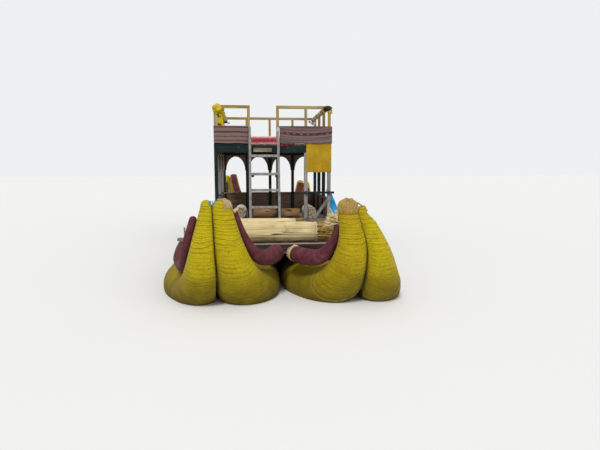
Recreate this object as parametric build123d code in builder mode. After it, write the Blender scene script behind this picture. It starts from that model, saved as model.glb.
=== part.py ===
from build123d import *
import os
from math import atan, cos, degrees, radians, sin, sqrt, tan

# Twin-hull lake boat of bundled reeds, with upturned ends and an open two-storey timber cabin.
# Millimetres. +Z is up, -Y is the bow and +Y the stern, and left and right are as seen from ahead.
# Z = 0 is the underside of the bundles. Afloat, the boat sits 370 mm deep in the lake.

# Hull bundles
INNER_AXIS = 620
INNER_HALF_WIDTH = 618
INNER_HALF_HEIGHT = 470
INNER_EDGE = INNER_AXIS + INNER_HALF_WIDTH
SEAM_GAP = 4
OUTER_EDGE = 2190
# Half width of an outer bundle's ellipse, as a share of the bundle's whole width
OUTER_FULLNESS = 0.58
OUTER_HALF_WIDTH = OUTER_FULLNESS * (OUTER_EDGE - INNER_EDGE - SEAM_GAP)
OUTER_HALF_HEIGHT = 450
OUTER_AXIS = OUTER_EDGE - OUTER_HALF_WIDTH
TAPER_START = 4300
BEND_START = 4900
BEND_RADIUS = 1150
BEND_ANGLE = 88
# Shares of an end at which its bundles' sections are drawn
END_SHARES = [0, 0.05, 0.1, 0.17, 0.27, 0.39, 0.51, 0.63, 0.75, 0.87, 1]
# Height over width of a bundle at its tips
TIP_ROUNDNESS = 0.9
# The domed tip: height over the last section, and that section's share of its size
DOME = [(0, 1.0), (40, 0.93), (74, 0.76), (96, 0.5)]
FRAY_LENGTH = 44
FRAY_FOOT = 0.8
FRAY_FLARE = 1.3

# Rolls that lie on the bundles
GUNWALE_RADIUS = 190
GUNWALE_TIP_RADIUS = 60
GUNWALE_TURN = 8.5
GUNWALE_REACH = 0.93
GUNWALE_STEPS = 14
SEAT_GAP = 5
INNER_SEAT_GAP = 22
INNER_ROLL_STEPS = 7
INNER_ROLL_TAPER = 1.5
FREE_STEPS = 4

# Decks
DECK_FRONT = -4930
DECK_BACK = 4350
DECK_HALF_WIDTH = 1500
BEARER_WIDTH = 110
BEARER_TOP = 1060
BEARER_GAP = 3
OUTER_BEARER_X = 1450
BEAM_TOP = 1200
BEAM_WIDTH = 100
BEAM_HALF_LENGTH = 1540
BEAM_COUNT = 11
DECK_TOP = 1240
BOARD_WIDTH = 150
BOARD_GROOVE = 8

# Cabin
CABIN_FRONT = -900
CABIN_BACK = 2100
CABIN_HALF_WIDTH = 1460
POST = 90
FRONT_FACE = CABIN_FRONT - POST / 2
BACK_FACE = CABIN_BACK + POST / 2
PLATE_BOTTOM = 2950
PLATE_TOP = 3140
UPPER_DECK = 3175
JOIST_HEIGHT = 80
JOIST_WIDTH = 60
JOIST_COUNT = 5
FRONT_POST_X = [-1460, -620, 120, 850, 1460]
BACK_POST_X = [-1460, -730, 0, 730, 1460]
SIDE_POST_Y = [100, 1100]
WALL = 30
PARAPET_TOP = 1770
CAP_HEIGHT = 45
CAP_WIDTH = 80
ARCH_SPRING = 2470
ARCH_CROWN = 2905
ARCH_LEG = 22

# Upper railing
RAIL_TOP = 4140
RAIL_HEIGHT = 75
RAIL_WIDTH = 55
MIDRAIL_Z = 3600
UPPER_POST = 70


def box_between(low, high):
    """Plain block from its lowest to its highest corner, added to the part being built."""
    size = [b - a for a, b in zip(low, high)]
    middle = [(a + b) / 2 for a, b in zip(low, high)]
    with Locations(tuple(middle)):
        return Box(*size)


def keep(piece, name):
    """Label one finished sub-part and write its file."""
    piece.part.label = name
    export_step(piece.part, f"parts/{name}.step")


def through(values, share):
    """Value at a share of the way along evenly spaced values, on a smooth curve that starts level."""
    place = share * (len(values) - 1)
    index = min(int(place), len(values) - 2)
    part = place - index
    row = [values[1], *values, 2 * values[-1] - values[-2]]
    before, start, stop, after = row[index:index + 4]
    bend = 2 * before - 5 * start + 4 * stop - after
    sway = 3 * (start - stop) + after - before
    return start + part / 2 * (stop - before + part * (bend + part * sway))


def bend_frame(end, axis_z, tip_z, share):
    """Length, height and slope of a bundle's axis at a share of its tapered end, -1 bow or 1 stern."""
    level = BEND_START - TAPER_START
    arc = BEND_RADIUS * radians(BEND_ANGLE)
    upright = tip_z - axis_z - BEND_RADIUS * (1 - cos(radians(BEND_ANGLE)))
    run = share * (level + arc + upright) - level
    angle = min(max(run, 0) / BEND_RADIUS, radians(BEND_ANGLE))
    past = max(run - arc, 0)
    y = end * (BEND_START + min(run, 0) + BEND_RADIUS * sin(angle) + past * cos(angle))
    z = axis_z + BEND_RADIUS * (1 - cos(angle)) + past * sin(angle)
    return y, z, angle


def surface_height(x):
    """Top of the outer bundle's straight run at a distance from the middle plane."""
    return OUTER_HALF_HEIGHT * (1 + sqrt(1 - ((x - OUTER_AXIS) / OUTER_HALF_WIDTH) ** 2))


os.makedirs("parts", exist_ok=True)

# Reed bundles. Each end follows rows of values at even shares of its length, from the straight run to
# the tip. side, end: half widths of the inner bundle, its outboard edge, outboard edge of the outer
# bundle, tip z of the inner one, tip z of the outer one
BOW_WIDTHS = [INNER_HALF_WIDTH, 597, 500, 335, 225, 145]
STERN_WIDTHS = [INNER_HALF_WIDTH, 597, 500, 335, 210, 145]
ENDS = {
    ("left", -1): (BOW_WIDTHS, [INNER_EDGE, 1212, 1130, 1075, 1083, 1100],
                   [OUTER_EDGE, 2080, 1830, 1610, 1440, 1275], 2000, 2000),
    ("right", -1): (BOW_WIDTHS, [INNER_EDGE, 1262, 1305, 1320, 1280, 1115],
                    [OUTER_EDGE, 2158, 2060, 1885, 1655, 1330], 1990, 1900),
    ("left", 1): (STERN_WIDTHS, [INNER_EDGE, 1250, 1310, 1400, 1470, 1505],
                  [OUTER_EDGE, 2150, 2060, 1940, 1840, 1740], 2160, 2120),
    ("right", 1): (STERN_WIDTHS, [INNER_EDGE, 1250, 1300, 1380, 1450, 1485],
                   [OUTER_EDGE, 2150, 2050, 1920, 1820, 1720], 1900, 1860),
}


def roundness(half_height, half_width, share):
    """Height over width of a bundle at a share of its end, from that of the straight run to the tip's."""
    start = half_height / half_width
    return start + (TIP_ROUNDNESS - start) * share ** 2


def inner_station(side, end, share):
    """Inner bundle at a share of its end: sideways place, half width, half height, y, z and slope."""
    widths, seams, _, tip_z, _ = ENDS[side, end]
    width = through(widths, share)
    x = through(seams, share) - width
    height = width * roundness(INNER_HALF_HEIGHT, INNER_HALF_WIDTH, share)
    y, z, angle = bend_frame(end, INNER_HALF_HEIGHT, tip_z, share)
    return x, width, height, y, z, angle


def outer_station(side, end, share):
    """Outer bundle at a share of its end, as for the inner one."""
    _, seams, edges, _, tip_z = ENDS[side, end]
    edge = through(edges, share)
    width = OUTER_FULLNESS * (edge - through(seams, share) - SEAM_GAP)
    height = width * roundness(OUTER_HALF_HEIGHT, OUTER_HALF_WIDTH, share)
    y, z, angle = bend_frame(end, OUTER_HALF_HEIGHT, tip_z, share)
    return edge - width, width, height, y, z, angle


def seated(station, end, turn, radius, gap):
    """Centre of a roll that lies on a bundle's station, turned round it outboard from the hollow side."""
    x, width, height, y, z, angle = station
    across = sin(turn) / width
    up = cos(turn) / height
    reach = (radius + gap) / sqrt(across ** 2 + up ** 2)
    outboard = width * sin(turn) + across * reach
    rise = height * cos(turn) + up * reach
    return x + outboard, y - end * rise * sin(angle), z + rise * cos(angle)


def section_plane(end, y, z, angle):
    """Plane square to a bundle's axis, with its x across the boat."""
    return Plane(origin=(0, y, z), x_dir=(1, 0, 0), z_dir=(0, end * cos(angle), sin(angle)))


def end_rows(station, neighbour, side, end):
    """Rows of plane, x, half width, half height and seam x: along the tapered end, then over its domed tip.
    The seam is where an outer bundle is pressed flat against its inner neighbour."""
    taper = []
    for share in END_SHARES:
        x, width, height, y, z, angle = station(side, end, share)
        seam = None
        if neighbour:
            near_x, near_width = neighbour(side, end, share)[:2]
            seam = near_x + near_width + SEAM_GAP
        taper.append((section_plane(end, y, z, angle), x, width, height, seam))
    plane, x, width, height, seam = taper[-1]
    middle = (seam + x + width) / 2 if neighbour else x
    dome = []
    for rise, scale in DOME:
        near = middle + (seam - middle) * scale if neighbour else None
        dome.append((plane.offset(rise), middle + (x - middle) * scale, width * scale, height * scale, near))
    return taper, dome


def bundle(side, station, neighbour=None):
    """One hull bundle: a straight run, two tapered ends that turn up, and their domed tips."""
    sign = -1 if side == "left" else 1
    with BuildPart() as piece:
        for end in (-1, 1):
            for rows in end_rows(station, neighbour, side, end):
                for plane, x, width, height, seam in rows:
                    with BuildSketch(plane):
                        with Locations((sign * x, 0)):
                            Ellipse(width, height)
                        if neighbour:
                            with Locations((sign * (seam - width), 0)):
                                Rectangle(2 * width, 4 * height, mode=Mode.SUBTRACT)
                loft()
        plane, x, width, height, seam = end_rows(station, neighbour, side, -1)[0][0]
        with BuildSketch(plane):
            with Locations((sign * x, 0)):
                Ellipse(width, height)
            if neighbour:
                with Locations((sign * (seam - width), 0)):
                    Rectangle(2 * width, 4 * height, mode=Mode.SUBTRACT)
        extrude(amount=-2 * TAPER_START)
    return piece


def roll_through(stations, rounded=False):
    """A round roll in short cones through stations of x, y, z and radius. Its first end may be rounded."""
    points = [Vector(x, y, z) for x, y, z, _ in stations]
    across = Vector(0, 0, 1)
    with BuildPart() as piece:
        for index, station in enumerate(stations):
            ahead = points[min(index + 1, len(points) - 1)]
            behind = points[max(index - 1, 0)]
            along = (ahead - behind).normalized()
            across = (across - along * across.dot(along)).normalized()
            with BuildSketch(Plane(origin=points[index], x_dir=across, z_dir=along)):
                Circle(station[3])
        loft(ruled=True)
        if rounded:
            with Locations(points[0]):
                Sphere(stations[0][3])
    return piece


for side in ("left", "right"):
    keep(bundle(side, inner_station), f"bundle_{side}_inner")
    keep(bundle(side, outer_station, inner_station), f"bundle_{side}_outer")

# Frayed reed ends that stand out of the top of each inner bundle
fray_pieces = []
for side, end in ENDS:
    sign = -1 if side == "left" else 1
    top, x, width, height, _ = end_rows(inner_station, None, side, end)[1][-1]
    with BuildPart() as tuft:
        for rise, flare in ((0, FRAY_FOOT), (FRAY_LENGTH, FRAY_FLARE)):
            with BuildSketch(top.offset(rise)):
                with Locations((sign * x, 0)):
                    Ellipse(width * flare, height * flare)
        loft(ruled=True)
    fray_pieces.append(tuft.part)
with BuildPart() as reed_tips:
    add(fray_pieces)
keep(reed_tips, "reed_tips")

# Gunwale rolls, which lie in the hollow side of the outer bundles from tip to tip
# Degrees more that a roll leans outboard at the top of an end
GUNWALE_LEAN = {("left", -1): 70, ("right", -1): 0, ("left", 1): 0, ("right", 1): 0}
LEAN_POWER = 1.5


def gunwale_station(side, end, climb):
    """Centre and radius of a gunwale roll at a share of its climb up an end."""
    radius = GUNWALE_RADIUS + (GUNWALE_TIP_RADIUS - GUNWALE_RADIUS) * climb
    turn = radians(GUNWALE_TURN + GUNWALE_LEAN[side, end] * climb ** LEAN_POWER)
    station = outer_station(side, end, GUNWALE_REACH * climb)
    x, y, z = seated(station, end, turn, radius, SEAT_GAP)
    return x, y, z, radius


for side in ("left", "right"):
    sign = -1 if side == "left" else 1
    stations = []
    for end in (-1, 1):
        run = []
        for step in range(GUNWALE_STEPS + 1):
            x, y, z, radius = gunwale_station(side, end, step / GUNWALE_STEPS)
            run.append((sign * x, y, z, radius))
        stations = run[::-1] if end < 0 else stations + run
    keep(roll_through(stations), f"gunwale_roll_{side}")

# Inner rolls at each end: down the hollow side of the inner bundle, then inward to a blunt end
# x, distance from midships, z and radius of its blunt end, and of the point that leads its curve; shares
# of the bundle's end at which it takes its seat and stops; degrees it is turned inboard round the bundle
# at both; its radius at both; and whether its blunt end is rounded
INNER_ROLLS = {
    ("left", -1): ((117, 5150, 1112, 155), (190, 5432, 1085, 150), (0.60, 0.97), (52, 53), (123, 44), True),
    ("right", -1): ((192, 5150, 1121, 140), (205, 5375, 1097, 150), (0.62, 0.96), (64, 40), (140, 44), False),
    ("left", 1): ((160, 5150, 1112, 150), (230, 5300, 1120, 150), (0.50, 0.96), (20, 5), (145, 85), True),
    ("right", 1): ((160, 5150, 1112, 150), (230, 5300, 1120, 150), (0.50, 0.93), (20, 5), (145, 85), False),
}


def inner_roll(side, end):
    """Stations of one inner roll, from its blunt end to its thin end by the tip."""
    blunt, lead, (seat, reach), turns, radii, _ = INNER_ROLLS[side, end]
    sign = -1 if side == "left" else 1
    climbing = []
    for step in range(INNER_ROLL_STEPS + 1):
        climb = step / INNER_ROLL_STEPS
        radius = radii[1] + (radii[0] - radii[1]) * (1 - climb) ** INNER_ROLL_TAPER
        turn = -radians(turns[0] + (turns[1] - turns[0]) * climb)
        station = inner_station(side, end, seat + (reach - seat) * climb)
        climbing.append((*seated(station, end, turn, radius, INNER_SEAT_GAP), radius))
    free = []
    for step in range(FREE_STEPS):
        part = step / FREE_STEPS
        station = []
        for first, second, third, facing in zip(blunt, lead, climbing[0], (1, end, 1, 1)):
            start, middle = first * facing, second * facing
            station.append((1 - part) ** 2 * start + 2 * part * (1 - part) * middle + part ** 2 * third)
        free.append(tuple(station))
    return [(sign * x, y, z, radius) for x, y, z, radius in free + climbing]


for end_name, end in (("bow", -1), ("stern", 1)):
    for side in ("left", "right"):
        rounded = INNER_ROLLS[side, end][-1]
        keep(roll_through(inner_roll(side, end), rounded), f"{end_name}_roll_{side}")

# Deck frame: lengthwise bearers on the bundles, and crossbeams on the bearers
with BuildPart() as deck_bearers:
    half = BEARER_WIDTH / 2
    inner_seat = 2 * INNER_HALF_HEIGHT + BEARER_GAP
    outer_seat = surface_height(OUTER_BEARER_X + half) + BEARER_GAP
    for x, seat in ((INNER_AXIS, inner_seat), (OUTER_BEARER_X, outer_seat)):
        for middle in (-x, x):
            box_between((middle - half, DECK_FRONT, seat), (middle + half, DECK_BACK, BEARER_TOP))
keep(deck_bearers, "deck_bearers")

with BuildPart() as crossbeams:
    pitch = (DECK_BACK - DECK_FRONT - BEAM_WIDTH) / (BEAM_COUNT - 1)
    for index in range(BEAM_COUNT):
        y = DECK_FRONT + index * pitch
        box_between((-BEAM_HALF_LENGTH, y, BEARER_TOP), (BEAM_HALF_LENGTH, y + BEAM_WIDTH, BEAM_TOP))
keep(crossbeams, "crossbeams")


def boarded_deck(front, back, bottom, top, half_width):
    """A deck of lengthwise boards, with a groove at each joint between boards."""
    joints = int(2 * half_width / BOARD_WIDTH) - 1
    with BuildPart() as piece:
        box_between((-half_width, front, bottom), (half_width, back, top))
        with Locations((0, (front + back) / 2, top)):
            with GridLocations(BOARD_WIDTH, 0, joints, 1):
                Box(BOARD_GROOVE, back - front, BOARD_GROOVE * 2, mode=Mode.SUBTRACT)
    return piece


keep(boarded_deck(DECK_FRONT, FRONT_FACE, BEAM_TOP, DECK_TOP, DECK_HALF_WIDTH), "deck_fore")
keep(boarded_deck(FRONT_FACE, BACK_FACE, BEAM_TOP, DECK_TOP, DECK_HALF_WIDTH), "deck_cabin")
keep(boarded_deck(BACK_FACE, DECK_BACK, BEAM_TOP, DECK_TOP, DECK_HALF_WIDTH), "deck_aft")


def posts(places, bottom, top, width):
    """Square posts at a list of x, y places."""
    with BuildPart() as piece:
        with BuildSketch(Plane.XY.offset(bottom)):
            with Locations(*places):
                Rectangle(width, width)
        extrude(amount=top - bottom)
    return piece


# Cabin posts
front_places = [(x, CABIN_FRONT) for x in FRONT_POST_X]
back_places = [(x, CABIN_BACK) for x in BACK_POST_X]
keep(posts(front_places, DECK_TOP, PLATE_BOTTOM, POST), "posts_front")
keep(posts(back_places, DECK_TOP, PLATE_BOTTOM, POST), "posts_back")
for side, sign in (("left", -1), ("right", 1)):
    side_places = [(sign * CABIN_HALF_WIDTH, y) for y in SIDE_POST_Y]
    keep(posts(side_places, DECK_TOP, PLATE_BOTTOM, POST), f"posts_{side}")

# Plates on the posts: front and back run between the side ones
half_post = POST / 2
with BuildPart() as plates:
    with BuildSketch(Plane.XY.offset(PLATE_BOTTOM)):
        with Locations((0, (CABIN_FRONT + CABIN_BACK) / 2)):
            Rectangle(2 * CABIN_HALF_WIDTH + POST, CABIN_BACK - CABIN_FRONT + POST)
            Rectangle(2 * CABIN_HALF_WIDTH - POST, CABIN_BACK - CABIN_FRONT - POST, mode=Mode.SUBTRACT)
    extrude(amount=PLATE_TOP - PLATE_BOTTOM)
keep(plates, "plates")

with BuildPart() as joists:
    pitch = (CABIN_BACK - CABIN_FRONT) / (JOIST_COUNT + 1)
    for index in range(JOIST_COUNT):
        y = CABIN_FRONT + (index + 1) * pitch
        inside = CABIN_HALF_WIDTH - half_post
        low = (-inside, y - JOIST_WIDTH / 2, PLATE_TOP - JOIST_HEIGHT)
        box_between(low, (inside, y + JOIST_WIDTH / 2, PLATE_TOP))
keep(joists, "joists")

keep(boarded_deck(FRONT_FACE, BACK_FACE, PLATE_TOP, UPPER_DECK, CABIN_HALF_WIDTH + half_post), "deck_upper")


def arcade(span_edges, plane):
    """A wall of arches under a plate: one panel a bay, between posts at the given places."""
    with BuildPart() as piece:
        for start, stop in zip(span_edges, span_edges[1:]):
            width = stop - start - POST
            middle = (start + stop) / 2
            with BuildSketch(plane):
                with Locations((middle, (ARCH_SPRING + PLATE_BOTTOM) / 2)):
                    Rectangle(width, PLATE_BOTTOM - ARCH_SPRING)
                with Locations((middle, ARCH_SPRING)):
                    Ellipse(width / 2 - ARCH_LEG, ARCH_CROWN - ARCH_SPRING, mode=Mode.SUBTRACT)
            extrude(amount=WALL / 2, both=True)
    return piece


back_plane = Plane(origin=(0, CABIN_BACK, 0), x_dir=(1, 0, 0), z_dir=(0, -1, 0))
keep(arcade(BACK_POST_X, back_plane), "arcade_back")
side_edges = [CABIN_FRONT] + SIDE_POST_Y + [CABIN_BACK]
for side, sign in (("left", -1), ("right", 1)):
    side_plane = Plane(origin=(sign * CABIN_HALF_WIDTH, 0, 0), x_dir=(0, 1, 0), z_dir=(1, 0, 0))
    keep(arcade(side_edges, side_plane), f"arcade_{side}")


def parapet(span_edges, plane):
    """A low boarded wall with a cap, one panel a bay between the posts."""
    with BuildPart() as piece:
        for start, stop in zip(span_edges, span_edges[1:]):
            width = stop - start - POST
            middle = (start + stop) / 2
            with BuildSketch(plane):
                with Locations((middle, (DECK_TOP + PARAPET_TOP - CAP_HEIGHT) / 2)):
                    Rectangle(width, PARAPET_TOP - CAP_HEIGHT - DECK_TOP)
            extrude(amount=WALL / 2, both=True)
            with BuildSketch(plane):
                with Locations((middle, PARAPET_TOP - CAP_HEIGHT / 2)):
                    Rectangle(width, CAP_HEIGHT)
            extrude(amount=CAP_WIDTH / 2, both=True)
    return piece


keep(parapet(BACK_POST_X, back_plane), "parapet_back")
for side, sign in (("left", -1), ("right", 1)):
    side_plane = Plane(origin=(sign * CABIN_HALF_WIDTH, 0, 0), x_dir=(0, 1, 0), z_dir=(1, 0, 0))
    keep(parapet(side_edges, side_plane), f"parapet_{side}")

# Rail and brace in the front right bay
BAY_RAIL_Z = 1920
BAY_RAIL_X = (800, 1590)
BAY_RAIL = 55
with BuildPart() as bay_rail:
    low = (BAY_RAIL_X[0], FRONT_FACE - BAY_RAIL, BAY_RAIL_Z - BAY_RAIL / 2)
    box_between(low, (BAY_RAIL_X[1], FRONT_FACE, BAY_RAIL_Z + BAY_RAIL / 2))
keep(bay_rail, "bay_rail")

BRACE_FOOT_X = 1070
BRACE_HEAD_X = 1430
BRACE_HEAD_Z = 1740
BRACE_WIDTH = 95
with BuildPart() as brace:
    front_plane = Plane(origin=(0, FRONT_FACE, 0), x_dir=(1, 0, 0), z_dir=(0, -1, 0))
    with BuildSketch(front_plane):
        with BuildLine():
            Polyline(
                (BRACE_FOOT_X - BRACE_WIDTH / 2, DECK_TOP),
                (BRACE_FOOT_X + BRACE_WIDTH / 2, DECK_TOP),
                (BRACE_HEAD_X + BRACE_WIDTH / 2, BRACE_HEAD_Z),
                (BRACE_HEAD_X - BRACE_WIDTH / 2, BRACE_HEAD_Z),
                close=True,
            )
        make_face()
    extrude(amount=WALL)
keep(brace, "brace")

# Ladder in the door bay, which leans back on the upper posts
LADDER_X = (-590, 130)
LADDER_RAIL = 60
LADDER_FOOT_OUT = 600
LADDER_TOP = 3600
LADDER_SLOPE = atan(LADDER_FOOT_OUT / (LADDER_TOP - DECK_TOP))
LADDER_HALF_THICK = LADDER_RAIL / 2 / cos(LADDER_SLOPE)
RUNG_HEIGHTS = [1590, 2010, 2410, 2863]
RUNG_HEIGHT = 60
RUNG_DEPTH = 40


def ladder_y(height):
    """Middle of the ladder's rails at a height."""
    rest = CABIN_FRONT - UPPER_POST / 2 - SEAT_GAP - LADDER_HALF_THICK
    return rest - (LADDER_TOP - height) * tan(LADDER_SLOPE)


with BuildPart() as ladder_rail:
    with BuildSketch(Plane.YZ):
        with BuildLine():
            Polyline(
                (ladder_y(DECK_TOP) - LADDER_HALF_THICK, DECK_TOP),
                (ladder_y(DECK_TOP) + LADDER_HALF_THICK, DECK_TOP),
                (ladder_y(LADDER_TOP) + LADDER_HALF_THICK, LADDER_TOP),
                (ladder_y(LADDER_TOP) - LADDER_HALF_THICK, LADDER_TOP),
                close=True,
            )
        make_face()
    extrude(amount=LADDER_RAIL / 2, both=True)
with BuildPart() as ladder:
    for x in LADDER_X:
        add(Pos(x, 0, 0) * ladder_rail.part)
    middle = sum(LADDER_X) / 2
    for height in RUNG_HEIGHTS:
        with Locations(Location((middle, ladder_y(height), height), (-degrees(LADDER_SLOPE), 0, 0))):
            Box(LADDER_X[1] - LADDER_X[0], RUNG_DEPTH, RUNG_HEIGHT)
keep(ladder, "ladder")

# Painted board on the front right bay
PANEL_X = (853, 1513)
PANEL_Z = (2450, 3230)
PANEL = 22
with BuildPart() as panel:
    box_between((PANEL_X[0], FRONT_FACE - PANEL, PANEL_Z[0]), (PANEL_X[1], FRONT_FACE, PANEL_Z[1]))
keep(panel, "panel_yellow")

# Upper railing: posts on the upper deck, a top rail along each side and lower rails along the front
upper_front = [(x, CABIN_FRONT) for x in FRONT_POST_X]
upper_back = [(x, CABIN_BACK) for x in BACK_POST_X]
rail_bottom = RAIL_TOP - RAIL_HEIGHT
keep(posts(upper_front, UPPER_DECK, rail_bottom, UPPER_POST), "upper_posts_front")
keep(posts(upper_back, UPPER_DECK, rail_bottom, UPPER_POST), "upper_posts_back")
for side, sign in (("left", -1), ("right", 1)):
    places = [(sign * CABIN_HALF_WIDTH, y) for y in SIDE_POST_Y]
    keep(posts(places, UPPER_DECK, rail_bottom, UPPER_POST), f"upper_posts_{side}")

half_rail = RAIL_WIDTH / 2
half_upper = UPPER_POST / 2
with BuildPart() as rail_front:
    for start, stop in ((0, 1), (2, 4)):
        low = (FRONT_POST_X[start] - half_upper, CABIN_FRONT - half_rail, rail_bottom)
        box_between(low, (FRONT_POST_X[stop] + half_upper, CABIN_FRONT + half_rail, RAIL_TOP))
keep(rail_front, "rail_front")
with BuildPart() as rail_back:
    edge = CABIN_HALF_WIDTH + half_upper
    box_between((-edge, CABIN_BACK - half_rail, rail_bottom), (edge, CABIN_BACK + half_rail, RAIL_TOP))
keep(rail_back, "rail_back")
for side, sign in (("left", -1), ("right", 1)):
    with BuildPart() as rail_side:
        x = sign * CABIN_HALF_WIDTH
        low = (x - half_rail, CABIN_FRONT + half_rail, rail_bottom)
        box_between(low, (x + half_rail, CABIN_BACK - half_rail, RAIL_TOP))
    keep(rail_side, f"rail_{side}")

MIDRAIL = 50
MIDRAIL_BAYS = [(0, 1), (2, 3), (3, 4)]
with BuildPart() as midrails:
    for start, stop in MIDRAIL_BAYS:
        low = (FRONT_POST_X[start] + half_upper, CABIN_FRONT - MIDRAIL / 2, MIDRAIL_Z - MIDRAIL / 2)
        high = (FRONT_POST_X[stop] - half_upper, CABIN_FRONT + MIDRAIL / 2, MIDRAIL_Z + MIDRAIL / 2)
        box_between(low, high)
keep(midrails, "midrails_front")

# Bench at the back of the upper deck, with a blanket laid over its front
BENCH_TOP = 3500
BENCH_FRONT = 1480
BENCH_BACK = 1980
BENCH_HALF = 1330
BENCH_BOARD = 40
BENCH_LEG_X = 1270
BENCH_LEG_INSET = 40
with BuildPart() as bench:
    box_between((-BENCH_HALF, BENCH_FRONT, BENCH_TOP - BENCH_BOARD), (BENCH_HALF, BENCH_BACK, BENCH_TOP))
    for x in (-BENCH_LEG_X, 0, BENCH_LEG_X):
        low = (x - BENCH_BOARD / 2, BENCH_FRONT + BENCH_LEG_INSET, UPPER_DECK)
        box_between(low, (x + BENCH_BOARD / 2, BENCH_BACK - BENCH_LEG_INSET, BENCH_TOP - BENCH_BOARD))
keep(bench, "bench")

BLANKET = 22
BLANKET_DROP = 3225
BLANKET_X = (-750, 1250)
BLANKET_BACK = 1890
with BuildPart() as blanket:
    blanket_face = BENCH_FRONT - BLANKET
    box_between((BLANKET_X[0], blanket_face, BENCH_TOP), (BLANKET_X[1], BLANKET_BACK, BENCH_TOP + BLANKET))
    box_between((BLANKET_X[0], blanket_face, BLANKET_DROP), (BLANKET_X[1], BENCH_FRONT, BENCH_TOP))
keep(blanket, "blanket")

# Striped cloths hung over the lower front rails
BANNER = 30
BANNER_BOTTOM = 3205
BANNER_TOP = 3630
BANNER_BACK = -970
for name, start_x, stop_x in (("banner_left", -1500, -635), ("banner_right", 170, 1525)):
    with BuildPart() as banner:
        box_between((start_x, BANNER_BACK - BANNER, BANNER_BOTTOM), (stop_x, BANNER_BACK, BANNER_TOP))
    keep(banner, name)

# Rolled tarpaulins along the side rails, thicker at their front ends
TARP_GAP = 2
# y, z, half width, half height
TARP_LEFT = [(-870, 3945, 115, 225), (-600, 4010, 78, 120), (0, 4045, 62, 70), (2000, 4050, 58, 62)]
TARP_RIGHT = [(-870, 4065, 85, 85), (-600, 4060, 70, 75), (0, 4060, 62, 66), (2000, 4055, 58, 62)]
for name, sign, stations in (("tarp_left", -1, TARP_LEFT), ("tarp_right", 1, TARP_RIGHT)):
    with BuildPart() as tarp:
        for y, z, half_width, half_height in stations:
            plane = Plane(origin=(0, y, z), x_dir=(1, 0, 0), z_dir=(0, 1, 0))
            with BuildSketch(plane):
                with Locations((sign * (CABIN_HALF_WIDTH - half_upper - half_width - TARP_GAP), 0)):
                    Ellipse(half_width, half_height)
        loft(ruled=True)
    keep(tarp, name)

# Tarpaulin that hangs out over the right parapet, with a flap across its front
TARP_SIDE_FRONT = -780
TARP_SIDE_LENGTH = 900
TARP_SIDE = 28
TARP_SIDE_SECTION = [(1512, 1950), (1540, 1950), (1810, 1300), (1782, 1300)]
TARP_FLAP_SECTION = [(1512, 1950), (1540, 1950), (1810, 1300), (1512, 1300)]
with BuildPart() as tarp_side:
    front_plane = Plane(origin=(0, TARP_SIDE_FRONT, 0), x_dir=(1, 0, 0), z_dir=(0, -1, 0))
    for section, length in ((TARP_SIDE_SECTION, TARP_SIDE_LENGTH), (TARP_FLAP_SECTION, TARP_SIDE)):
        with BuildSketch(front_plane):
            with BuildLine():
                Polyline(*section, close=True)
            make_face()
        extrude(amount=-length)
keep(tarp_side, "tarp_side")

# Crosswise reed rolls: two on the fore deck, one at the door, and one along each side of the cabin
# name, radius, axis, start, end, and its place across that axis
REED_ROLLS = [
    ("reed_roll_front", 185, "x", -1100, 1000, -4720),
    ("reed_roll_second", 175, "x", -1100, 510, -3920),
    ("reed_roll_door", 125, "x", -560, 730, -700),
    ("seat_roll_left", 155, "y", -830, 60, -870),
    ("seat_roll_right", 155, "y", -830, 60, 985),
]
for name, radius, axis, start, stop, place in REED_ROLLS:
    height = DECK_TOP + radius
    if axis == "x":
        plane = Plane(origin=(start, place, height), x_dir=(0, 1, 0), z_dir=(1, 0, 0))
    else:
        plane = Plane(origin=(place, start, height), x_dir=(1, 0, 0), z_dir=(0, 1, 0))
    with BuildPart() as reed_roll:
        with BuildSketch(plane):
            Circle(radius)
        extrude(amount=stop - start)
    keep(reed_roll, name)

# Tholes on the gunwale rolls: a wedge block and an upright pin
# side, half width and length of the block, place of the pin outboard of its middle, top of the pin
THOLES = [("left", 130, 90, 0, 1500), ("right", 90, 120, 55, 1575)]
THOLE_HEIGHT = 55
THOLE_PIN_RADIUS = 15
for side, half_width, length, out, pin_top in THOLES:
    sign = -1 if side == "left" else 1
    x, y, z, radius = gunwale_station(side, -1, 1 / GUNWALE_STEPS)
    block_bottom = z + radius
    block_top = block_bottom + THOLE_HEIGHT
    with BuildPart() as thole:
        low = (sign * x - half_width, y - length, block_bottom)
        box_between(low, (sign * x + half_width, y, block_top))
        with BuildSketch(Plane.XY.offset(block_top)):
            with Locations((sign * (x + out), y - length / 2)):
                Circle(THOLE_PIN_RADIUS)
        extrude(amount=pin_top - block_top)
    keep(thole, f"thole_{side}")
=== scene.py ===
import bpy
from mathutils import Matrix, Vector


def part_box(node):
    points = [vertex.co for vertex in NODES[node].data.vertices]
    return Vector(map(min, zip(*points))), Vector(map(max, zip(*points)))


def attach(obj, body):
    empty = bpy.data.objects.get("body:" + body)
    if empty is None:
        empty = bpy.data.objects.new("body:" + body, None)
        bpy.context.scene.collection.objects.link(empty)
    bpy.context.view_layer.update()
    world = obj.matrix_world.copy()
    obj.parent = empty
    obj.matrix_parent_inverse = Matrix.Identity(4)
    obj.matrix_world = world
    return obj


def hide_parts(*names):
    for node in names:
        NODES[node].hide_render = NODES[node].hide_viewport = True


bl_info = {
    "name": "Reed Boat",
    "version": (1, 0, 0),
    "blender": (4, 5, 0),
    "location": "View3D > Sidebar > Reed Boat",
    "description": "Builds the reed wrap, cloth, timber and rope surfaces of a twin-hull reed boat",
    "category": "Object",
}

import bmesh
import bpy
import numpy as np
from bpy.props import FloatProperty, FloatVectorProperty, PointerProperty

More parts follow.
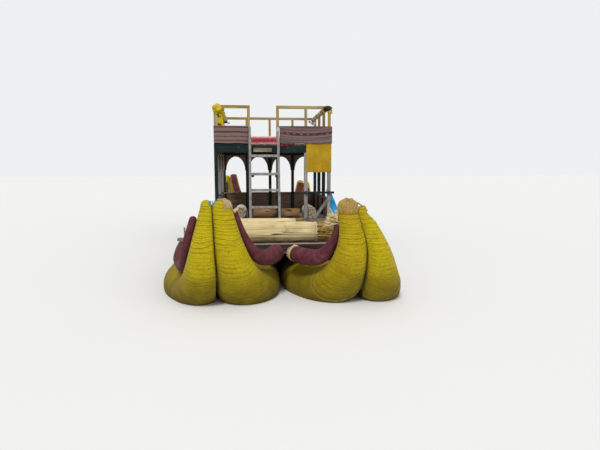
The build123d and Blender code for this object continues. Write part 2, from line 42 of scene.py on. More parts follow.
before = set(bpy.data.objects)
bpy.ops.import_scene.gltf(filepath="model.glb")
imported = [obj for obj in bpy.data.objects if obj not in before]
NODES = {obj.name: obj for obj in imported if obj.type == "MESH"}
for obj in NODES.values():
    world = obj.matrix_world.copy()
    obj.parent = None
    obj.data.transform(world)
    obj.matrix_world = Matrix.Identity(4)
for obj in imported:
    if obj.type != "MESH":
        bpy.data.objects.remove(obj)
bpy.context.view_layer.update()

# Hull lines in metres, as in the solids: +Z up, -Y the bow, Z = 0 the underside of the bundles
WATERLINE = 0.37
DECK_TOP = 1.24
TAPER_START = 4.3
BEND_START = 4.9
BEND_RADIUS = 1.15
BEND_ANGLE = np.radians(88)
BEND_ARC = BEND_RADIUS * BEND_ANGLE
BEND_RISE = BEND_RADIUS * (1 - np.cos(BEND_ANGLE))
SEAM_GAP = 0.004
SEAM, OUTER_EDGE = 1.238, 2.19
OUTER_FULLNESS = 0.58
INNER = {"width": 0.618, "height": 0.47}
OUTER = {"width": OUTER_FULLNESS * (OUTER_EDGE - SEAM - SEAM_GAP), "height": 0.45}
TIP_ROUNDNESS = 0.9
DOME_RISE = [0, 0.03, 0.055, 0.074, 0.09, 0.102, 0.109, 0.112]
DOME_SCALE = [1, 0.96, 0.885, 0.78, 0.62, 0.43, 0.2, 0.06]
SIGN = {"left": -1.0, "right": 1.0}

# An end's half widths of the inner bundle, its outboard edge and the outer bundle's, at even shares from the
# straight run to the tip, then tip z of the inner and of the outer one
BOW_WIDTHS = [0.618, 0.597, 0.5, 0.335, 0.225, 0.145]
STERN_WIDTHS = [0.618, 0.597, 0.5, 0.335, 0.21, 0.145]
ENDS = {
    ("left", -1): (BOW_WIDTHS, [SEAM, 1.212, 1.13, 1.075, 1.083, 1.1],
                   [OUTER_EDGE, 2.08, 1.83, 1.61, 1.44, 1.275], 2.0, 2.0),
    ("right", -1): (BOW_WIDTHS, [SEAM, 1.262, 1.305, 1.32, 1.28, 1.115],
                    [OUTER_EDGE, 2.158, 2.06, 1.885, 1.655, 1.33], 1.99, 1.9),
    ("left", 1): (STERN_WIDTHS, [SEAM, 1.25, 1.31, 1.4, 1.47, 1.505],
                  [OUTER_EDGE, 2.15, 2.06, 1.94, 1.84, 1.74], 2.16, 2.12),
    ("right", 1): (STERN_WIDTHS, [SEAM, 1.25, 1.3, 1.38, 1.45, 1.485],
                   [OUTER_EDGE, 2.15, 2.05, 1.92, 1.82, 1.72], 1.9, 1.86),
}

# Gunwale rolls: radius and tip radius, degrees turned inboard, share of the end that they reach and gap to
# the bundle; then the degrees that each leans outboard on its way up
GUNWALE = {"radius": 0.19, "tip": 0.06, "turn": 8.5, "reach": 0.93, "gap": 0.005}
GUNWALE_LEAN = {("left", -1): 70, ("right", -1): 0, ("left", 1): 0, ("right", 1): 0}

# Inner rolls: x, distance from midships, z and radius of the blunt end and of the point that leads the
# curve; shares of the bundle's end between which the roll climbs, degrees turned inboard at both, radius at
# both; and whether the blunt end is rounded
INNER_ROLL_GAP = 0.022
INNER_ROLLS = {
    ("left", -1): ((0.117, 5.15, 1.112, 0.155), (0.19, 5.432, 1.085, 0.15),
                   (0.6, 0.97), (52, 53), (0.123, 0.044), True),
    ("right", -1): ((0.192, 5.15, 1.121, 0.14), (0.205, 5.375, 1.097, 0.15),
                    (0.62, 0.96), (64, 40), (0.14, 0.044), False),
    ("left", 1): ((0.16, 5.15, 1.112, 0.15), (0.23, 5.3, 1.12, 0.15),
                  (0.5, 1.03), (20, 0), (0.15, 0.11), True),
    ("right", 1): ((0.16, 5.15, 1.112, 0.15), (0.23, 5.3, 1.12, 0.15),
                   (0.5, 1.01), (20, 0), (0.15, 0.12), False),
}


def measure(name, text, default, low, high):
    """A length property with its name, description, default and range in metres."""
    return FloatProperty(name=name, description=text, default=default, min=low, max=high, unit="LENGTH")


def colour(name, text, value):
    """A colour property with its name, description and default."""
    return FloatVectorProperty(name=name, description=text, default=value, subtype="COLOR", min=0, max=1)


class BoatSizes(bpy.types.PropertyGroup):
    """Sizes of the surface detail."""
    hoop_pitch: measure("Hoop pitch", "Distance between the wrap's hoops along a bundle", 0.055, 0.03, 0.12)
    hoop_groove: measure("Hoop groove", "Depth of the groove that each hoop presses in", 0.0025, 0, 0.01)
    reed_radius: measure("Reed radius", "Radius of one dry reed", 0.0075, 0.003, 0.02)
    rope_radius: measure("Rope radius", "Radius of the lashing rope", 0.008, 0.003, 0.02)
    edge_round: measure("Edge rounding", "Width of the worn round on timber edges", 0.006, 0.001, 0.02)


class BoatColours(bpy.types.PropertyGroup):
    """Colours of the finishes."""
    wrap: colour("Wrap", "Yellow net and cord wrapped round the hull bundles", (0.5, 0.4, 0.004))
    # The wrap's dark colour: a real dark tone in patches and thread lines, and painted shade in the grooves,
    # the ribs' troughs and the holes.
    wrap_dark_and_groove_shade: colour("Wrap grooves", "Colour in the wrap's grooves and worn places", (0.17, 0.125, 0.003))
    # Orange painted reflection of bounce light on the bundles; the wrap lays it in random patches.
    wrap_orange_reflection: colour("Wrap stain", "Orange stain low on the bundles", (0.42, 0.29, 0.006))
    cloth: colour("Cloth", "Maroon cloth of the long rolls", (0.077, 0.012, 0.02))
    cloth_dust: colour("Cloth dust", "Dust and bleaching on the maroon cloth", (0.18, 0.06, 0.062))
    reed_pale: colour("Reed, pale", "Dry reed in the sun", (0.78, 0.66, 0.37))
    reed_golden: colour("Reed, golden", "Frayed ends of the reeds", (0.41, 0.275, 0.068))
    reed_dark: colour("Reed, dark", "Dry reed between and under the others", (0.26, 0.145, 0.035))
    green: colour("Green paint", "Old dark green paint on the cabin's frame", (0.005, 0.013, 0.011))
    grey: colour("Grey timber", "Weathered grey timber", (0.26, 0.25, 0.24))
    brown: colour("Brown timber", "Dark stained timber of arches and parapets", (0.28, 0.18, 0.12))
    deck: colour("Deck", "Worn deck boards", (0.13, 0.09, 0.065))
    rail: colour("Rail timber", "Yellow varnished timber of the upper rails", (0.42, 0.285, 0.075))
    ladder: colour("Ladder", "Pale weathered timber of the ladder", (0.31, 0.295, 0.28))
    mustard: colour("Mustard paint", "Paint of the board on the right bay", (0.36, 0.215, 0.005))
    tarp_yellow: colour("Yellow tarpaulin", "Rolled tarpaulins on the side rails", (0.54, 0.39, 0.006))
    tarp_blue: colour("Blue tarpaulin", "Tarpaulin over the right parapet", (0.008, 0.36, 0.74))
    rope: colour("Rope", "Blue-grey rope of the lashings", (0.12, 0.2, 0.2))


def sizes():
    """The user's sizes."""
    return bpy.context.scene.reed_boat_sizes


def colours():
    """The user's colours."""
    return bpy.context.scene.reed_boat_colours


# Mesh tools
def unit(vectors):
    """Vectors divided by their lengths."""
    return vectors / np.maximum(np.linalg.norm(vectors, axis=-1, keepdims=True), 1e-12)


def smooth_noise(seed, count, *coords):
    """A sum of sine waves of random direction and phase over the given coordinates, from about -1 to 1."""
    rng = np.random.default_rng(seed)
    total = 0
    for _ in range(count):
        turn = rng.uniform(-1, 1, len(coords))
        total = total + np.sin(sum(t * c for t, c in zip(turn, coords)) + rng.uniform(0, 2 * np.pi))
    return total / count ** 0.5 / 1.3


def circle(around):
    """Angles of evenly spaced places round a ring."""
    return np.arange(around) * 2 * np.pi / around


def marks_round(around, size):
    """Even marks from 0 to a size at the places round a ring, and once more where it closes."""
    return np.arange(around + 1) / around * size


def points_of(x, y, z):
    """Points from their three parts, each spread over the rows and columns of the others."""
    return np.stack(np.broadcast_arrays(x, y, z), -1)


def put(name, points, quads, tris, uv, material, smooth=True):
    """New mesh object from points and faces, with a uv pair for each face corner, quads first. A closed
    surface whose volume comes out negative, from the sum of the corner products, is turned to face out."""
    points = np.asarray(points, float).reshape(-1, 3)
    quads = np.asarray(quads, np.int64).reshape(-1, 4)
    tris = np.asarray(tris, np.int64).reshape(-1, 3)
    all_tris = np.concatenate([quads[:, :3], quads[:, [0, 2, 3]], tris])
    a, b, c = (points[all_tris[:, k]] for k in range(3))
    uv_quads = np.asarray(uv[0], float).reshape(-1, 4, 2)
    uv_tris = np.asarray(uv[1], float).reshape(-1, 3, 2)
    if (a * np.cross(b, c)).sum() < 0:
        quads, tris = quads[:, ::-1], tris[:, ::-1]
        uv_quads, uv_tris = uv_quads[:, ::-1], uv_tris[:, ::-1]
    mesh = bpy.data.meshes.new(name)
    corners = np.concatenate([quads.ravel(), tris.ravel()]).astype(np.int32)
    starts = np.concatenate([np.arange(len(quads)) * 4, len(quads) * 4 + np.arange(len(tris)) * 3])
    mesh.vertices.add(len(points))
    mesh.vertices.foreach_set("co", points.ravel().astype(np.float32))
    mesh.loops.add(len(corners))
    mesh.loops.foreach_set("vertex_index", corners)
    mesh.polygons.add(len(starts))
    mesh.polygons.foreach_set("loop_start", starts.astype(np.int32))
    mesh.polygons.foreach_set("use_smooth", np.full(len(starts), smooth))
    mesh.update(calc_edges=True)
    layer = mesh.uv_layers.new(name="UVMap")
    layer.uv.foreach_set("vector", np.concatenate([uv_quads.ravel(), uv_tris.ravel()]).astype(np.float32))
    made = bpy.data.objects.new(name, mesh)
    bpy.context.collection.objects.link(made)
    mesh.materials.append(material)
    return made


def skins(name, grids, u, v, material):
    """Closed tubes: grids holds tube, row, place round and xyz. Each ring is joined to the next, and a point
    at the middle of the first and last ring closes the ends. u is given for each row, v for each place
    round and once more where the ring closes."""
    grids = np.asarray(grids, float)
    if grids.ndim == 3:
        grids, u, v = grids[None], np.asarray(u)[None], np.asarray(v)[None]
    count, rows, around = grids.shape[:3]
    index = np.arange(count * rows * around).reshape(count, rows, around)
    ahead = np.roll(index, -1, axis=2)
    quads = np.stack([index[:, :-1], ahead[:, :-1], ahead[:, 1:], index[:, 1:]], -1)
    first = count * rows * around + np.arange(count)
    last = first + count
    tris = np.concatenate([
        np.stack([ahead[:, 0], index[:, 0], np.repeat(first[:, None], around, 1)], -1),
        np.stack([index[:, -1], ahead[:, -1], np.repeat(last[:, None], around, 1)], -1),
    ])
    points = np.concatenate([grids.reshape(-1, 3), grids[:, 0].mean(1), grids[:, -1].mean(1)])
    u, v = np.broadcast_to(u, (count, rows)), np.broadcast_to(v, (count, around + 1))
    shape = (count, rows - 1, around)
    low_u, high_u = (np.broadcast_to(part[:, :, None], shape) for part in (u[:, :-1], u[:, 1:]))
    low_v, high_v = (np.broadcast_to(part[:, None, :], shape) for part in (v[:, :-1], v[:, 1:]))
    uv_quads = np.stack([low_u, low_v, low_u, high_v, high_u, high_v, high_u, low_v], -1)
    middle = (v[:, :-1] + v[:, 1:]) / 2
    ends = []
    for k in (0, -1):
        at = np.broadcast_to(u[:, k, None], (count, around))
        pair = (v[:, 1:], v[:, :-1]) if k == 0 else (v[:, :-1], v[:, 1:])
        ends.append(np.stack([at, pair[0], at, pair[1], at, middle], -1))
    return put(name, points, quads, tris, (uv_quads, np.concatenate(ends)), material)


def rings(spine, radius, around, across=(1, 0, 0)):
    """Rings along a path: centre plus radius times cosine and sine of the angle, along two directions that
    are square to the path. radius may change from row to row, or from place to place round the ring."""
    spine = np.asarray(spine, float)
    along = unit(np.gradient(spine, axis=-2))
    first = unit(np.cross(along, np.asarray(across, float)))
    second = np.cross(along, first)
    angle = circle(around)
    radius = np.asarray(radius, float)
    if radius.ndim < spine.ndim:
        radius = radius[..., None] * np.ones(around)
    return (spine[..., None, :] + radius[..., None]
            * (np.cos(angle)[:, None] * first[..., None, :] + np.sin(angle)[:, None] * second[..., None, :]))


def lengths(spine):
    """Distance along a path at each of its points, from its steps added up."""
    steps = np.linalg.norm(np.diff(spine, axis=-2), axis=-1)
    return np.concatenate([np.zeros(steps.shape[:-1] + (1,)), np.cumsum(steps, axis=-1)], -1)


def tube(name, spine, radius, around, material, across=(1, 0, 0)):
    """One round tube along a path, with uv in metres."""
    spine = np.asarray(spine, float)
    grid = rings(spine, np.broadcast_to(radius, spine.shape[:-1]), around, across)
    return skins(name, grid, lengths(spine), marks_round(around, 2 * np.pi * float(np.max(radius))), material)


def stalks(name, spines, radius, material, seed):
    """Many thin five-sided reeds: a narrow tube along each path. u is the length in metres, and v starts at a
    number of the reed's own."""
    spines = np.asarray(spines, float)
    own = np.random.default_rng(seed).uniform(0, 50, (len(spines), 1))
    grid = rings(spines, np.full(spines.shape[:2], radius), 5)
    return skins(name, grid, lengths(spines), own + marks_round(5, 0.05), material)


def finish(made, replaces=()):
    """Puts a piece on the boat's one body, and hides the nodes that it stands for."""
    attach(made, "root")
    if replaces:
        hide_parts(*replaces)
    return made


# Material tools
FLOAT, COLOUR, VECTOR = "NodeSocketFloat", "NodeSocketColor", "NodeSocketVector"


def node(tree, kind, inputs=None, **settings):
    """A node of that kind, with its settings, and its inputs set to values or joined to sockets."""
    made = tree.nodes.new(kind)
    for key, value in settings.items():
        setattr(made, key, value)
    for key, value in (inputs or {}).items():
        if isinstance(value, bpy.types.NodeSocket):
            tree.links.new(value, made.inputs[key])
        else:
            made.inputs[key].default_value = value
    return made


def maths(tree, operation, first, second=0.0, third=0.0):
    """The result of one operation on up to three values."""
    return node(tree, "ShaderNodeMath", {0: first, 1: second, 2: third}, operation=operation).outputs[0]


def times(tree, first, second):
    """Product of two values."""
    return maths(tree, "MULTIPLY", first, second)


def plus(tree, first, second):
    """Sum of two values."""
    return maths(tree, "ADD", first, second)


def weighed(tree, first, *others):
    """Sum of values, each given with a weight that it is multiplied by."""
    total = times(tree, *first)
    for value, weight in others:
        total = plus(tree, total, times(tree, value, weight))
    return total


def centred(tree, value, size):
    """A value from 0 to 1 moved to lie round 0, with that size from end to end."""
    return times(tree, maths(tree, "SUBTRACT", value, 0.5), size)


def wave(tree, value, kind="SINE"):
    """The sine or cosine of a value, halved and lifted to lie between 0 and 1."""
    return maths(tree, "MULTIPLY_ADD", maths(tree, kind, value), 0.5, 0.5)


def spread(tree, value, low, high, new_low=0.0, new_high=1.0):
    """Value carried from one range to another, and held inside it."""
    inputs = {"Value": value, "From Min": low, "From Max": high, "To Min": new_low, "To Max": new_high}
    return node(tree, "ShaderNodeMapRange", inputs).outputs[0]


def opaque(value):
    """A colour with full alpha; a socket stays as it is."""
    return value if isinstance(value, bpy.types.NodeSocket) else (*value[:3], 1.0)


def scaled(tint, factor, lift=0.0):
    """A colour times a factor, plus a lift, held at 1."""
    return [min(1, c * factor + lift) for c in tint]


def blend_colour(tree, share, first, second):
    """Two colours mixed by a share."""
    inputs = {0: share, 6: opaque(first), 7: opaque(second)}
    return node(tree, "ShaderNodeMix", inputs, data_type="RGBA").outputs[2]


def layered(tree, tone, *coats):
    """A colour with coats laid over it in turn, each a share and a colour of its own."""
    for share, tint in coats:
        tone = blend_colour(tree, share, tone, tint)
    return tone


def noise(tree, vector, scale, detail=4.0, roughness=0.6):
    """Soft noise from 0 to 1 over a vector."""
    inputs = {"Vector": vector, "Scale": scale, "Detail": detail, "Roughness": roughness}
    return node(tree, "ShaderNodeTexNoise", inputs).outputs["Fac"]


def stretched(tree, vector, scale, place=(0, 0, 0)):
    """A vector scaled on each axis and moved."""
    return node(tree, "ShaderNodeMapping", {"Vector": vector, "Scale": scale, "Location": place}).outputs[0]


def streaks(tree, vector, scale, detail, roughness):
    """Noise drawn out along an axis: its scale is given for each one."""
    return noise(tree, stretched(tree, vector, scale), 1.0, detail, roughness)


def split(tree, vector):
    """The three parts of a vector."""
    return node(tree, "ShaderNodeSeparateXYZ", {0: vector}).outputs


def own_tone(tree, number):
    """A random value from 0 to 1 that stays the same between one whole number and the next."""
    whole = maths(tree, "FLOOR", number)
    return node(tree, "ShaderNodeTexWhiteNoise", {"W": whole}, noise_dimensions="1D").outputs["Value"]


def new_group(name, inputs, outputs):
    """An empty shader group. inputs holds each socket's kind, or a number as the default of a plain one, and
    outputs each socket's kind. It gives the tree, its inner input sockets and a call that ends it."""
    tree = bpy.data.node_groups.new(name, "ShaderNodeTree")
    for key, kind in inputs.items():
        plain = isinstance(kind, float)
        socket = tree.interface.new_socket(name=key, in_out="INPUT", socket_type=FLOAT if plain else kind)
        if plain:
            socket.default_value = kind
    for key, kind in outputs.items():
        tree.interface.new_socket(name=key, in_out="OUTPUT", socket_type=kind)
    start = tree.nodes.new("NodeGroupInput")
    end = tree.nodes.new("NodeGroupOutput")

    def close(**values):
        """Joins each named output of the group to its value."""
        for key, socket in values.items():
            tree.links.new(socket, end.inputs[key])
        return tree

    return tree, start.outputs, close


def grain_group(name):
    """Timber: long streaks of two colours, fine pores, and grey bleached patches."""
    tree, given, close = new_group(name, {"Vector": VECTOR, "Colour": COLOUR, "Dark": COLOUR, "Bleach": 0.3},
                                   {"Colour": COLOUR, "Height": FLOAT})
    streak = noise(tree, given["Vector"], 1.0, 6.0, 0.65)
    pores = noise(tree, given["Vector"], 3.6, 3.0, 0.7)
    patch = spread(tree, noise(tree, given["Vector"], 0.22, 3.0, 0.55), 0.48, 0.68)
    bleached = blend_colour(tree, 0.55, given["Colour"], BLEACH)
    tone = layered(tree, given["Dark"], (spread(tree, streak, 0.36, 0.66), given["Colour"]),
                   (times(tree, patch, given["Bleach"]), bleached),
                   (spread(tree, pores, 0.62, 0.72, 0.0, 0.55), given["Dark"]))
    return close(Colour=tone, Height=weighed(tree, (streak, 0.7), (pores, 0.3)))


def darker_low_group(name):
    """A darker tone below a height, with a ragged edge, and in soft blotches above it."""
    tree, given, close = new_group(name, {"Vector": VECTOR, "Colour": COLOUR, "Dirt": COLOUR, "Low": 0.4,
                                          "High": 0.8, "Blotches": 0.3}, {"Colour": COLOUR, "Mask": FLOAT})
    ragged = centred(tree, noise(tree, given["Vector"], 2.3), 0.9)
    height = plus(tree, split(tree, given["Vector"])["Z"], ragged)
    low_share = spread(tree, height, given["Low"], given["High"], 1.0, 0.0)
    blotch = spread(tree, noise(tree, given["Vector"], 3.1, 5.0, 0.7), 0.56, 0.74)
    mask = maths(tree, "MAXIMUM", low_share, times(tree, blotch, given["Blotches"]))
    return close(Colour=blend_colour(tree, mask, given["Colour"], given["Dirt"]), Mask=mask)


def weave_group(name):
    """Crossed threads from the uv: each thread is a rounded ridge, over and under by turns."""
    tree, given, close = new_group(name, {"Vector": VECTOR, "Threads": 200.0}, {"Height": FLOAT})
    parts = split(tree, given["Vector"])
    along, across = (maths(tree, "SINE", times(tree, parts[key], given["Threads"])) for key in ("X", "Y"))
    return close(Height=maths(tree, "MULTIPLY_ADD", times(tree, along, across), 0.5, 0.5))


def use(tree, name, build, **inputs):
    """The outputs of a shader group placed in a material with its own values. The first use builds it."""
    shared = bpy.data.node_groups.get(name) or build(name)
    return node(tree, "ShaderNodeGroup", inputs, node_tree=shared).outputs


def start_material(name, **constants):
    """A material whose shader has plain values set on its sockets, its tree, and its two coordinates: the
    place on the boat and the uv."""
    made = bpy.data.materials.new(name)
    made.use_nodes = True
    tree = made.node_tree
    for key, value in constants.items():
        tree.nodes["Principled BSDF"].inputs[key.replace("_", " ")].default_value = value
    places = node(tree, "ShaderNodeTexCoord").outputs
    return made, tree, places["Object"], places["UV"]


def end_material(made, tone, height, distance, strength, rough=None):
    """Joins a colour, a bump from a height and, where it is given, a roughness to the material's shader."""
    tree = made.node_tree
    relief = node(tree, "ShaderNodeBump", {"Height": height, "Distance": distance, "Strength": strength})
    joined = {"Base Color": tone, "Normal": relief.outputs[0], "Roughness": rough}
    for key, socket in joined.items():
        if socket is not None:
            tree.links.new(socket, tree.nodes["Principled BSDF"].inputs[key])
    return made


def finish_of(name, build, *values, **choices):
    """The material of that name, made the first time it is asked for."""
    return bpy.data.materials.get(name) or build(name, *values, **choices)


def repaint(names, material):
    """Gives nodes that keep their solid shape a better material."""
    for name in names:
        shown = NODES[name]
        for slot in shown.material_slots:
            slot.material = material
        if not shown.material_slots:
            shown.data.materials.append(material)


# Finishes, and the colours that they lay over their main one
# Darker tone laid towards the bottom of the bundles.
DARKER_LOW_TINT = (0.1, 0.064, 0.002)
# Painted shade along the cloth's lengthwise folds; the soaked patches and lighter threads are the cloth's
# own.
CLOTH_FOLD_SHADE, CLOTH_SOAKED, CLOTH_THREADS = (0.05, 0.012, 0.02), (0.04, 0.006, 0.01), (0.2, 0.07, 0.08)
BLEACH = (0.62, 0.6, 0.56)
DECK_DUST = (0.3, 0.26, 0.2)
BARE_DARK, BARE_PALE = (0.16, 0.145, 0.14), (0.36, 0.33, 0.32)
WOVEN_SOIL, WOVEN_THREADS = (0.06, 0.04, 0.045), (0.4, 0.33, 0.32)
FULL_TURN = 2 * np.pi
DECK_BOARD = 0.15


def wrap_finish(name):
    """Yellow net over reeds. u counts the hoops and v the cells round: fine ribs at halves of a hoop, sharper
    lines where cords press in, small holes between the threads, stains, an orange tone, and a darker tone
    towards the bottom. The ribs' troughs, the pressed lines and the holes are darkened as painted shade, and
    the orange tone, laid in random patches, is a painted reflection of orange bounce light."""
    tints = colours()
    made, tree, place, uv = start_material(name, Roughness=0.6, Sheen_Weight=0.04, Specular_IOR_Level=0.08)
    parts = split(tree, uv)
    slow = centred(tree, noise(tree, place, 2.6, 3.0), 1.9)
    quick = centred(tree, noise(tree, place, 16.0), 0.36)
    hoops = plus(tree, plus(tree, parts["X"], slow), quick)
    rib = wave(tree, times(tree, hoops, FULL_TURN * 2), "COSINE")
    cord = maths(tree, "POWER", wave(tree, times(tree, hoops, FULL_TURN * 0.9), "COSINE"), 12.0)
    pressed = spread(tree, noise(tree, place, 3.4, 5.0, 0.7), 0.4, 0.6, 0.1, 0.9)
    thread = maths(tree, "SINE", times(tree, parts["Y"], FULL_TURN * 0.9))
    holes = spread(tree, streaks(tree, uv, (1.9, 0.8, 1), 2.0, 0.5), 0.58, 0.68)
    faded = noise(tree, place, 1.4, 5.0, 0.62)
    patches = noise(tree, place, 7.0, 4.0, 0.6)
    # The orange base is a painted reflection of bounce light; the yellow lies over it in random patches.
    tone = layered(tree, tints.wrap_orange_reflection, (spread(tree, faded, 0.32, 0.56), tints.wrap),
                   # Random dark patches and thread lines, then painted shade in the rib troughs, the holes
                   # and the pressed cord lines
                   (spread(tree, patches, 0.5, 0.78, 0.0, 0.35), tints.wrap_dark_and_groove_shade),
                   (spread(tree, thread, 0.4, 1.0, 0.0, 0.2), tints.wrap_dark_and_groove_shade),
                   (times(tree, rib, 0.3), tints.wrap_dark_and_groove_shade), (times(tree, holes, 0.7), tints.wrap_dark_and_groove_shade),
                   (times(tree, cord, pressed), tints.wrap_dark_and_groove_shade))
    # Darker towards the bottom, with a ragged edge and soft blotches; the same mask makes it rougher.
    darker_low = use(tree, "Dirt", darker_low_group, Vector=place, Colour=tone, Dirt=opaque(DARKER_LOW_TINT), Low=0.3,
               High=1.15, Blotches=0.25)
    spots = noise(tree, place, 38.0, 3.0, 0.7)
    height = weighed(tree, (rib, -0.4), (holes, -0.4), (cord, -0.5), (spots, 0.35))
    rough = spread(tree, darker_low["Mask"], 0, 1, 0.58, 0.8)
    return end_material(made, darker_low["Colour"], height, 0.007, 0.8, rough)


def cloth_finish(name):
    """Maroon cloth pulled over reeds: fine weave, reeds that print through along it with painted shade along
    these folds, dust and bleaching.
    """
    tints = colours()
    made, tree, place, uv = start_material(name, Roughness=0.8, Sheen_Weight=0.02, Specular_IOR_Level=0.2)
    weave = use(tree, "Weave", weave_group, Vector=uv, Threads=420.0)["Height"]
    lengthwise = streaks(tree, uv, (1.2, 26, 1), 5.0, 0.65)
    mottle = noise(tree, place, 9.0, 6.0, 0.72)
    worn = spread(tree, noise(tree, place, 2.4, 4.0, 0.6), 0.3, 0.62, 0.1, 0.7)
    soaked = noise(tree, stretched(tree, place, (5.0, 3.0, 5.0), (3, 1, 2)), 1.0, 5.0, 0.7)
    tone = layered(tree, tints.cloth, (times(tree, spread(tree, mottle, 0.42, 0.68), worn), tints.cloth_dust),
                   # painted shade along the lengthwise folds
                   (spread(tree, lengthwise, 0.55, 0.72, 0.0, 0.4), CLOTH_FOLD_SHADE),
                   (spread(tree, soaked, 0.5, 0.66, 0.0, 0.6), CLOTH_SOAKED),
                   (times(tree, weave, 0.12), CLOTH_THREADS))
    height = weighed(tree, (lengthwise, 0.8), (mottle, 0.5), (weave, 0.08))
    return end_material(made, tone, height, 0.008, 0.6)


def dry_reed_finish(name, pale, dark, mark=0.12):
    """Dry reeds: v gives each reed a tone of its own, and u runs along it in fine streaks and brown marks."""
    made, tree, place, uv = start_material(name, Roughness=0.6, Sheen_Weight=0.05, Specular_IOR_Level=0.2)
    streak = streaks(tree, uv, (2.5, 60, 1), 4.0, 0.7)
    marks = streaks(tree, uv, (9, 1, 1), 3.0, 0.6)
    cloudy = noise(tree, place, 5.0, 3.0, 0.6)
    share = weighed(tree, (own_tone(tree, split(tree, uv)["Y"]), 0.55), (streak, 0.45))
    middle = [(p + d) / 2 for p, d in zip(pale, dark)]
    tone = layered(tree, pale, (spread(tree, share, 0.15, 0.85), middle),
                   (spread(tree, marks, 0.6, 0.72, 0.0, mark), dark),
                   (spread(tree, cloudy, 0.5, 0.8, 0.0, mark), dark))
    return end_material(made, tone, streak, 0.002, 0.5)


def timber_finish(name, tint, dark, axis, bleach=0.3):
    """Timber whose grain runs along an axis of the boat: 0 across it, 1 along it, 2 upright."""
    made, tree, place, _ = start_material(name, Roughness=0.7, Specular_IOR_Level=0.2)
    scale = [2.2 if k == axis else 34.0 for k in range(3)]
    grain = use(tree, "Grain", grain_group, Vector=stretched(tree, place, scale), Colour=opaque(tint),
                Dark=opaque(dark), Bleach=bleach)
    return end_material(made, grain["Colour"], grain["Height"], 0.003, 0.55)


def deck_finish(name, tint):
    """Deck boards: grain along the boat, each board with a tone of its own, scuffed and dusty."""
    made, tree, place, _ = start_material(name, Roughness=0.75, Specular_IOR_Level=0.2)
    own = own_tone(tree, maths(tree, "DIVIDE", split(tree, place)["X"], DECK_BOARD))
    shift = node(tree, "ShaderNodeCombineXYZ", {"Y": times(tree, own, 9.0)}).outputs[0]
    moved = node(tree, "ShaderNodeVectorMath", {0: place, 1: shift}, operation="ADD").outputs[0]
    board = blend_colour(tree, own, tint, scaled(tint, 1.9, 0.02))
    grain = use(tree, "Grain", grain_group, Vector=stretched(tree, moved, (30, 2.0, 30)), Colour=board,
                Dark=opaque(scaled(tint, 0.45)), Bleach=0.35)
    dusty = spread(tree, noise(tree, place, 3.0, 5.0, 0.65), 0.5, 0.72, 0.0, 0.5)
    tone = blend_colour(tree, dusty, grain["Colour"], DECK_DUST)
    return end_material(made, tone, grain["Height"], 0.003, 0.6)


def paint_finish(name, tint, under, wear=0.4, rough=0.5, scale=1.0, bare_from=None):
    """Old paint: soft fading, chips that show the timber under it, and dark runs downward. Where bare_from is
    given, pieces further right than it are bare grey timber."""
    made, tree, place, _ = start_material(name, Roughness=rough, Specular_IOR_Level=0.15)
    fade = noise(tree, place, 3.0 * scale, 4.0, 0.6)
    chips = streaks(tree, place, (14 * scale, 14 * scale, 5 * scale), 6.0, 0.75)
    runs = streaks(tree, place, (26 * scale, 26 * scale, 1.5 * scale), 4.0, 0.6)
    mask = spread(tree, chips, 0.66 - 0.12 * wear, 0.7 - 0.1 * wear)
    tone = layered(tree, tint, (spread(tree, fade, 0.42, 0.7), scaled(tint, 1.5, 0.008)),
                   (spread(tree, runs, 0.52, 0.74, 0.0, 0.4), scaled(tint, 0.4)), (mask, under))
    if bare_from is not None:
        bare = blend_colour(tree, spread(tree, runs, 0.35, 0.65), BARE_DARK, BARE_PALE)
        across = split(tree, place)["X"]
        tone = blend_colour(tree, spread(tree, across, bare_from, bare_from + 0.02), tone, bare)
    height = weighed(tree, (runs, 0.3), (mask, -0.5))
    return end_material(made, tone, height, 0.003, 0.5, spread(tree, mask, 0, 1, rough, 0.85))


def rope_finish(name, tint):
    """Twisted rope from the uv: slanted strands, with painted shade between them, and faded lengths."""
    made, tree, place, uv = start_material(name, Roughness=0.8, Sheen_Weight=0.2)
    parts = split(tree, uv)
    strand = wave(tree, maths(tree, "MULTIPLY_ADD", parts["X"], 420.0, times(tree, parts["Y"], 370.0)))
    faded = spread(tree, noise(tree, place, 12.0, 3.0, 0.6), 0.4, 0.7)
    # Faded lengths, then painted shade in the grooves between the strands.
    tone = layered(tree, tint, (faded, scaled(tint, 1.8, 0.05)),
                   (spread(tree, strand, 0.35, 0.0, 0.0, 0.6), scaled(tint, 0.35)))
    return end_material(made, tone, strand, 0.003, 0.8)


def tarp_finish(name, tint, patch=None, shade=0.6):
    """Coated tarpaulin: fine weave, creases with a painted highlight on their ridges and painted shade, by a
    share, in their hollows, a soft shine, and patches of a second colour where it is given."""
    made, tree, place, uv = start_material(name, Roughness=0.45, Coat_Weight=0.04, Coat_Roughness=0.35,
                                           Specular_IOR_Level=0.25)
    weave = use(tree, "Weave", weave_group, Vector=uv, Threads=900.0)["Height"]
    creases = noise(tree, place, 11.0, 5.0, 0.7)
    faded = noise(tree, place, 2.5, 3.0, 0.6)
    # Random darker patches, then a painted highlight on the crease ridges and painted shade, by the share, in
    # their hollows.
    tone = layered(tree, tint, (spread(tree, faded, 0.4, 0.72, 0.0, 0.5), scaled(tint, 0.62)),
                   (spread(tree, creases, 0.6, 0.75, 0.0, 0.35), scaled(tint, 1.3, 0.03)),
                   (spread(tree, creases, 0.47, 0.36, 0.0, shade), scaled(tint, 0.25)))
    if patch is not None:
        tone = blend_colour(tree, spread(tree, noise(tree, place, 4.5, 4.0, 0.6), 0.5, 0.55), tone, patch)
    return end_material(made, tone, weighed(tree, (creases, 1.0), (weave, 0.05)), 0.008, 0.5)


